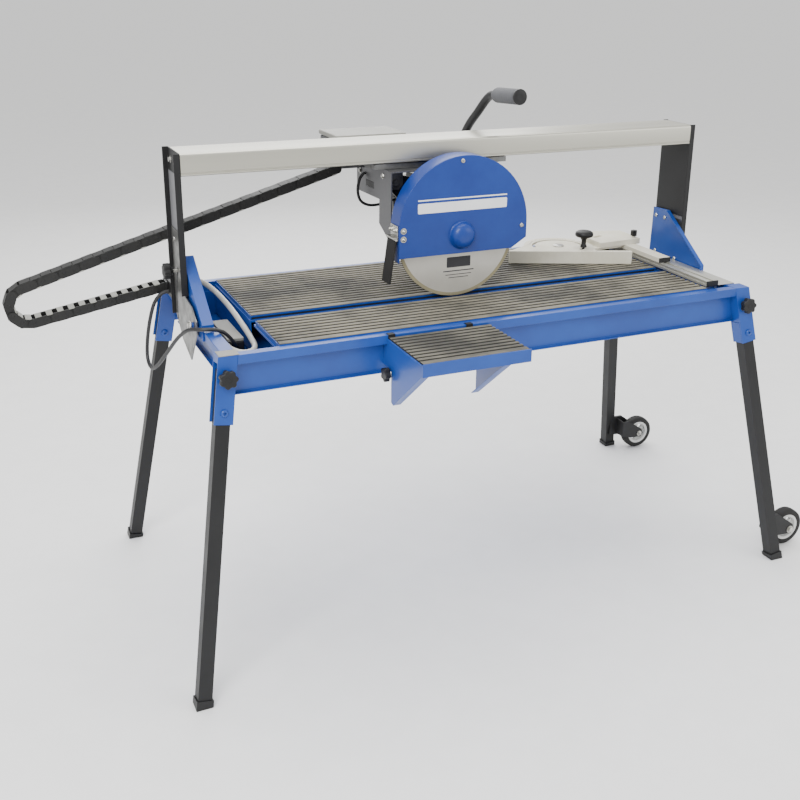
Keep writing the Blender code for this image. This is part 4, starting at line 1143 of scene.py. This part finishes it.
piece("switch_glands", joined(*glands), "moulded", "carriage")
print("switch box", [round(side, 3) for side in box_high - box_low])

# %% [markdown]
# ## Motor and swing arm
# An electric motor cools itself through fins cast along its body and a fan under a perforated cover at the
# back. The fins are one outline, a circle that steps in and out thirty-six times, drawn out along Y.

# %% Motor
MOTOR = (-0.038, 0.905)
fins = []
FIN_COUNT = 36
for number in range(FIN_COUNT):
    start = 360 * number / FIN_COUNT
    fins += arc(MOTOR, 0.0612, start, start + 3.4, 1) + arc(MOTOR, 0.0545, start + 5.0, start + 8.6, 1)
body_core = stock("XZ", 0.040, 0.150, fins)
piece("motor_fins", body_core, "cast_black", "head", replaces=("motor_housing",), smooth_deg=25)
front_bell = [(0, 0.0208), (0.050, 0.0208), (0.0585, 0.0240), (0.0600, 0.0290), (0.0600, 0.0400), (0, 0.0400)]
rear_bell = [(0, 0.150), (0.0600, 0.150), (0.0600, 0.158), (0, 0.158)]
fan_cover = [
    (0, 0.158), (0.0618, 0.158), (0.0618, 0.192), (0.0590, 0.1995), (0.0520, 0.2040), (0.0480, 0.2046)
]
fan_cover += [(0.0470, 0.2030), (0.0430, 0.2030), (0.0420, 0.2048), (0.0380, 0.2048), (0.0370, 0.2030)]
fan_cover += [(0.0330, 0.2030), (0.0320, 0.2048), (0.0280, 0.2048), (0.0270, 0.2030), (0.0230, 0.2030)]
fan_cover += [(0.0220, 0.2049), (0.0100, 0.2049), (0.0090, 0.2040), (0, 0.2040)]


def along_y(profile, steps=56):
    return turned(profile, (MOTOR[0], 0, MOTOR[1]), (0, 1, 0), steps)


piece("motor_bells", joined(along_y(front_bell), along_y(rear_bell)), "cast_black", "head")
piece("motor_fan_cover", along_y(fan_cover), "moulded", "head")
terminal = boxes(((-0.080, 0.060, 0.955), (0.000, 0.130, 0.9850)))
piece("motor_terminal_box", terminal, "moulded", "head", bevel=0.003, segments=3)
finished("swing_arm", "cast_black", 0.0012, segments=3)
arm_bolts = [hex_bolt(Vector((x, 0.0205, z)), (0, 1, 0), 0.009) for x, z in ((-0.110, 0.957), (0.108, 0.955))]
piece("arm_bolts", joined(*arm_bolts), "bright_zinc", "head")
print("motor fins", FIN_COUNT)

# %% [markdown]
# ## Blade guard
# The guard is pressed sheet: a shell closed at the back and a flat cover screwed to its front, with a domed
# cap over the spindle. Two plain stripes are printed where such a guard has its lettering.

# %% Guard
finished("guard_shell", "guard_coat", 0.0009, segments=3)
finished("guard_cover", "guard_coat", 0.0008, segments=2)
HUB = Vector((-0.038, -0.0980, 0.872))
dome = [(0, 0.0), (0.0330, 0.0), (0.0330, 0.0014), (0.0312, 0.0026), (0.0300, 0.0070), (0.0276, 0.0125)]
dome += [(0.0232, 0.0172), (0.0168, 0.0202), (0.0090, 0.0217), (0, 0.0221)]
piece("guard_hub_cap", turned(dome, HUB, (0, -1, 0), 56), "guard_coat", "head", smooth_deg=50)
guard_screws = [
    button_screw(Vector((x, -0.0979, z)), (0, -1, 0), 0.0052) for x, z in ((-0.040, 1.043), (0.119, 0.882))
]
guard_screws += [
    hex_bolt(Vector((-0.1850, -0.0979, z)), (0, -1, 0), 0.0085, dome=True) for z in (0.893, 0.874)
]
piece("guard_screws", joined(*guard_screws), "bright_zinc", "head")


def rounded_bar(left, right_end, low, high, radius=0.003):
    outline = arc((right_end - radius, high - radius), radius, 0, 90, 4)
    outline += arc((left + radius, high - radius), radius, 90, 180, 4)
    outline += arc((left + radius, low + radius), radius, 180, 270, 4)
    return outline + arc((right_end - radius, low + radius), radius, 270, 360, 4)


stripes = [rounded_bar(-0.150, 0.077, 0.9575, 0.9605, 0.0012), rounded_bar(-0.150, 0.077, 0.9290, 0.9520)]
printed = joined(*[stock("XZ", -0.09822, -0.09805, outline) for outline in stripes])
piece("guard_stripes", printed, "print", "head")

# %% [markdown]
# A rubber flap hangs at the left of the guard and wipes the spray back to the tray. It swings on a small
# plated bracket with two cap nuts.

# %% Splash flap
finished("splash_flap", "tyre", 0.0010)
flap_bracket = joined(
    boxes(
        ((-0.2085, -0.0925, 0.8760), (-0.1952, -0.0525, 0.8785)),
        ((-0.1975, -0.0925, 0.8700), (-0.1952, -0.0525, 0.9040)),
    ),
    turned(
        [(0, -0.024), (0.0028, -0.024), (0.0028, 0.024), (0, 0.024)],
        (-0.2020, -0.0725, 0.8735),
        (0, 1, 0),
        16,
    ),
)
piece("flap_bracket", flap_bracket, "bright_zinc", "head", bevel=0.0004)
caps = [hex_bolt(Vector((-0.1975, y, 0.893)), (-1, 0, 0), 0.009, dome=True) for y in (-0.084, -0.061)]
piece("flap_cap_nuts", joined(*caps), "bright_zinc", "head")

# %% [markdown]
# ## Diamond blade
# A continuous-rim blade: a ground steel core, slightly relieved, and a sintered rim seven and a half
# millimetres wide that stands a little proud of it. Both are lathe profiles, and the rim's edge is rounded
# by wear.

# %% Blade
RIM_IN, RIM_OUT = 0.1425, 0.1500
core = [(0.0102, -0.0009), (RIM_IN, -0.0009), (RIM_IN, 0.0009), (0.0102, 0.0009), (0.0102, -0.0009)]
rim_ring = [(RIM_IN - 0.0004, -0.0011), (RIM_OUT - 0.0004, -0.0011), (RIM_OUT, -0.0006), (RIM_OUT, 0.0006)]
rim_ring += [(RIM_OUT - 0.0004, 0.0011), (RIM_IN - 0.0004, 0.0011), (RIM_IN - 0.0004, -0.0011)]
piece(
    "blade_core", turned(core, BLADE_CENTRE, (0, 1, 0), 120), "blade_core", "saw_blade", replaces=("blade",)
)
piece("blade_rim", turned(rim_ring, BLADE_CENTRE, (0, 1, 0), 120), "blade_rim", "saw_blade")
finished("spindle", "bright_zinc", 0.0006)
LABEL_X, LABEL_FACES = -0.031, (-0.07135, -0.07125)
label = [stock("XZ", *LABEL_FACES, rounded_bar(-0.062, 0.000, 0.789, 0.814, 0.002))]
for low, high, half in ((0.7790, 0.7815, 0.040), (0.7705, 0.7722, 0.034), (0.7635, 0.7652, 0.026)):
    label.append(stock("XZ", *LABEL_FACES, rounded_bar(LABEL_X - half, LABEL_X + half, low, high, 0.0008)))
piece("blade_print", joined(*label), "ink", "saw_blade")
print("blade radius", RIM_OUT)

# %% [markdown]
# ## Pull handle
# One steel tube bends back under the beam, up behind it and forward again over the top, and ends in a foam
# grip with shallow finger rings.

# %% Handle
HANDLE_X = 0.125
HANDLE_ROUTE = [
    (HANDLE_X, 0.0210, 0.9550),
    (HANDLE_X, 0.0900, 0.9550),
    (HANDLE_X, 0.1600, 0.9570),
    (HANDLE_X, 0.2100, 0.9700),
    (HANDLE_X, 0.2330, 1.0050),
    (HANDLE_X, 0.2250, 1.0450),
    (HANDLE_X, 0.1960, 1.0800),
    (HANDLE_X, 0.1500, 1.1170),
    (HANDLE_X, 0.1120, 1.1480),
    (HANDLE_X, 0.0860, 1.1630),
    (HANDLE_X, 0.0605, 1.1665),
]
piece(
    "handle_bar",
    swept(smooth_route(HANDLE_ROUTE, 0.007), 0.0105, 20),
    "black_coat",
    "head",
    replaces=("handle_tube",),
)
grip_start, grip_end = Vector((HANDLE_X, 0.0600, 1.1665)), Vector((HANDLE_X, -0.0570, 1.1735))
grip_length = (grip_end - grip_start).length
grip = [(0, 0), (0.0128, 0), (0.0150, 0.002), (0.0168, 0.006)]
for number in range(9):
    at = 0.010 + number * (grip_length - 0.031) / 8
    grip += [(0.0178, at), (0.0183, at + 0.003), (0.0180, at + 0.0075)]
grip += [(0.0170, grip_length - 0.0090), (0.0155, grip_length - 0.0072), (0, grip_length - 0.0072)]
piece(
    "handle_foam_grip",
    turned(grip, grip_start, grip_end - grip_start, 40),
    "grip_foam",
    "head",
    replaces=("handle_grip",),
    smooth_deg=60,
)
cap = [
    (0, 0), (0.0165, 0), (0.0184, 0.0016), (0.0184, 0.0050), (0.0160, 0.0068), (0.0060, 0.0068), (0, 0.0060)
]
piece(
    "handle_end_cap",
    turned(cap, grip_end - (grip_end - grip_start).normalized() * 0.0068, grip_end - grip_start, 36),
    "moulded",
    "head",
    smooth_deg=50,
)
print("grip length", round(grip_length, 3))

# %% [markdown]
# ## Fence, stop and scale
# At the right end an aluminium profile crosses the table. A die-cast stop slides along it and carries a
# fence that turns on an arc slot, clamped by a mushroom knob. The castings are painted a dull cream.

# %% Stop and fence castings
profile_low, profile_high = (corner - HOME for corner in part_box("fence_profile"))
groove = 0.0045
left_x, right_x = profile_low.x, profile_high.x
middle_x = (left_x + right_x) / 2
profile_outline = [
    (left_x, profile_low.z),
    (right_x, profile_low.z),
    (right_x, profile_high.z - 0.008),
    (right_x - 0.002, profile_high.z - 0.007),
    (right_x - 0.002, profile_high.z - 0.005),
    (right_x, profile_high.z - 0.004),
    (right_x, profile_high.z),
    (middle_x + groove, profile_high.z),
    (middle_x + groove, profile_high.z - 0.004),
    (middle_x - groove, profile_high.z - 0.004),
    (middle_x - groove, profile_high.z),
    (left_x, profile_high.z),
    (left_x, profile_high.z - 0.004),
    (left_x + 0.002, profile_high.z - 0.005),
    (left_x + 0.002, profile_high.z - 0.007),
    (left_x, profile_high.z - 0.008),
]
cap_depth = 0.003
extrusion = stock("XZ", profile_low.y + cap_depth, profile_high.y - cap_depth, profile_outline)
piece("fence_extrusion", extrusion, "strip_aluminium", "frame", bevel=0.0004, replaces=("fence_profile",))
end_caps = boxes(
    ((left_x, profile_low.y, profile_low.z), (right_x, profile_low.y + cap_depth - 0.0001, profile_high.z)),
    ((left_x, profile_high.y - cap_depth + 0.0001, profile_low.z), (right_x, profile_high.y, profile_high.z)),
)
piece("fence_end_caps", end_caps, "moulded", "frame", bevel=0.0009)
finished("angle_stop_base", "cast", 0.0014, segments=3)
finished("angle_fence", "cast", 0.0012, segments=3)

PIVOT = (0.365, 0.124)
fence_scale = radial_ticks(
    PIVOT,
    0.0745,
    [number * 5 - 10 for number in range(33)],
    [0.009 if number % 3 == 2 else 0.005 for number in range(33)],
    "XY",
    0.75705,
    0.75720,
    0.0008,
)
piece("fence_angle_scale", fence_scale, "ink", "angle_fence")
pivot_boss = [(0, 0.7566), (0.0145, 0.7566), (0.0145, 0.7590), (0.0120, 0.7604), (0, 0.7604)]
piece("fence_pivot_cap", turned(pivot_boss, (*PIVOT, 0), (0, 0, 1), 32), "bright_zinc", "angle_stop")
KNOB_REACH, KNOB_ANGLE = 0.066, math.radians(-33)
KNOB = (PIVOT[0] + KNOB_REACH * math.cos(KNOB_ANGLE), PIVOT[1] + KNOB_REACH * math.sin(KNOB_ANGLE))
mushroom = [
    (0, 0.7508), (0.0034, 0.7508), (0.0034, 0.7574), (0.0085, 0.7574), (0.0085, 0.7610), (0.0062, 0.7660)
]
mushroom += [(0.0062, 0.7760), (0.0110, 0.7835), (0.0205, 0.7858), (0.0236, 0.7885), (0.0240, 0.7930)]
mushroom += [(0.0225, 0.7975), (0.0180, 0.8005), (0.0100, 0.8018), (0, 0.8020)]
piece(
    "angle_knob_mushroom",
    turned(mushroom, (*KNOB, 0), (0, 0, 1), 44),
    "moulded",
    "angle_knob",
    replaces=("angle_knob",),
    smooth_deg=50,
)
side_knob = star_outline(5, 0.0125, 0.003)
CLAMP_X, CLAMP_Y, CLAMP_SHARE = 0.596, 0.110, 0.72
clamp = stock(
    "XY", 0.7675, 0.7830, [(CLAMP_X + x * CLAMP_SHARE, CLAMP_Y + y * CLAMP_SHARE) for x, y in side_knob]
)
piece("stop_clamp_knob", clamp, "moulded", "angle_stop", bevel=0.0014, segments=3)
piece(
    "stop_clamp_stem",
    turned(
        [(0, 0.7636), (0.0045, 0.7636), (0.0045, 0.769), (0, 0.769)], (CLAMP_X, CLAMP_Y, 0), (0, 0, 1), 18
    ),
    "bright_zinc",
    "angle_stop",
)
slider_caps = boxes(
    ((0.5538, -0.0650, 0.7384), (0.5892, -0.0629, 0.7504)),
    ((0.5538, 0.1999, 0.7384), (0.5892, 0.2020, 0.7504)),
)
piece("stop_slider_caps", slider_caps, "moulded", "angle_stop", bevel=0.0006)
print("stop knob at", [round(value, 3) for value in KNOB])

# %% [markdown]
# A small plastic pad closes the open top of the front left corner, and the strip on the right ends on the
# rail.

# %% Corner pad
pad = stock("XY", 0.7202, 0.7212, [(-0.662, -0.246), (-0.620, -0.246), (-0.620, -0.280), (-0.662, -0.280)])
piece("corner_pad", pad, "pale_abs", "frame", bevel=0.0003)

# %% [markdown]
# The measuring strip is folded aluminium with a printed line every ten millimetres, and a longer one every
# fifty.

# %% Measuring strip
STRIP_TOP = 0.7222
strip = stock(
    "XZ",
    -0.243,
    0.243,
    [
        (0.5935, 0.7137),
        (0.5955, 0.7137),
        (0.5955, 0.7204),
        (0.6500, 0.7204),
        (0.6500, STRIP_TOP),
        (0.5935, STRIP_TOP),
    ],
)
piece("measuring_strip", strip, "strip_aluminium", "frame", bevel=0.0004)
marks = []
for number in range(-23, 24):
    length = 0.016 if number % 5 == 0 else 0.009
    at = number * 0.010
    marks.append(((0.5965, at - 0.0004, STRIP_TOP), (0.5965 + length, at + 0.0004, STRIP_TOP + 0.00012)))
piece("measuring_marks", boxes(*marks), "ink", "frame")
print("marks", len(marks))

# %% [markdown]
# ## Pump and the side table's fittings
# A small submersible pump sits in the open bay: a ribbed black body, a pale lid, and a hose barb at its
# side. The side table hangs by two narrow black hooks on the rail, and a star knob clamps it.

# %% Pump
pump_body = [(-0.598, -0.095), (-0.560, -0.095), (-0.560, 0.045), (-0.598, 0.045)]
piece(
    "pump_body",
    stock("XY", 0.6360, 0.6820, pump_body),
    "moulded",
    "frame",
    bevel=0.003,
    segments=3,
    replaces=("water_pump",),
)
ribs = [
    ((-0.5990, -0.090 + 0.011 * number, 0.640), (-0.5590, -0.086 + 0.011 * number, 0.678))
    for number in range(12)
]
piece("pump_ribs", boxes(*ribs), "moulded", "frame", bevel=0.0006)
piece(
    "pump_lid",
    boxes(((-0.5975, -0.0945, 0.6822), (-0.5605, 0.0445, 0.6900))),
    "pale_abs",
    "frame",
    bevel=0.0018,
    segments=3,
)
barb = boxes(
    ((-0.6165, 0.0502, 0.649), (-0.5805, 0.0635, 0.667)), ((-0.590, 0.0400, 0.650), (-0.572, 0.0580, 0.668))
)
piece("pump_outlet", barb, "moulded", "frame", bevel=0.0016, segments=3)

# %% Side table fittings
hooks = []
for across in (extension_low.x + 0.002, extension_high.x - 0.060):
    hooks.append(((across, -0.2838, 0.7203), (across + 0.016, -0.2700, 0.7213)))
    hooks.append(((across, -0.2838, 0.7050), (across + 0.016, -0.2826, 0.7213)))
piece("side_table_hooks", boxes(*hooks), "black_coat", "extension", bevel=0.0003)
clamp_place = Matrix.Translation(Vector((extension_low.x - 0.0004, -0.300, 0.640))) @ facing((-1, 0, 0))
clamp_head = stock("XY", 0.004, 0.016, star_outline(5, 0.016, 0.004))
clamp_stem = turned([(0, 0), (0.006, 0), (0.006, 0.005), (0, 0.005)], steps=20)
side_clamp = joined(clamp_head, clamp_stem)
side_clamp.transform(clamp_place)
piece("side_table_knob", side_clamp, "moulded", "extension", bevel=0.0016, segments=3)
print("hooks", len(hooks) // 2)

# %% [markdown]
# ## Last check
# No bare CAD node may be left with the importer's plain finish, so the names of any that still show are
# printed.

# %% Close
plain = [name for name, node in frame["nodes"].items() if not node.hide_render]
print("CAD nodes still showing:", plain)
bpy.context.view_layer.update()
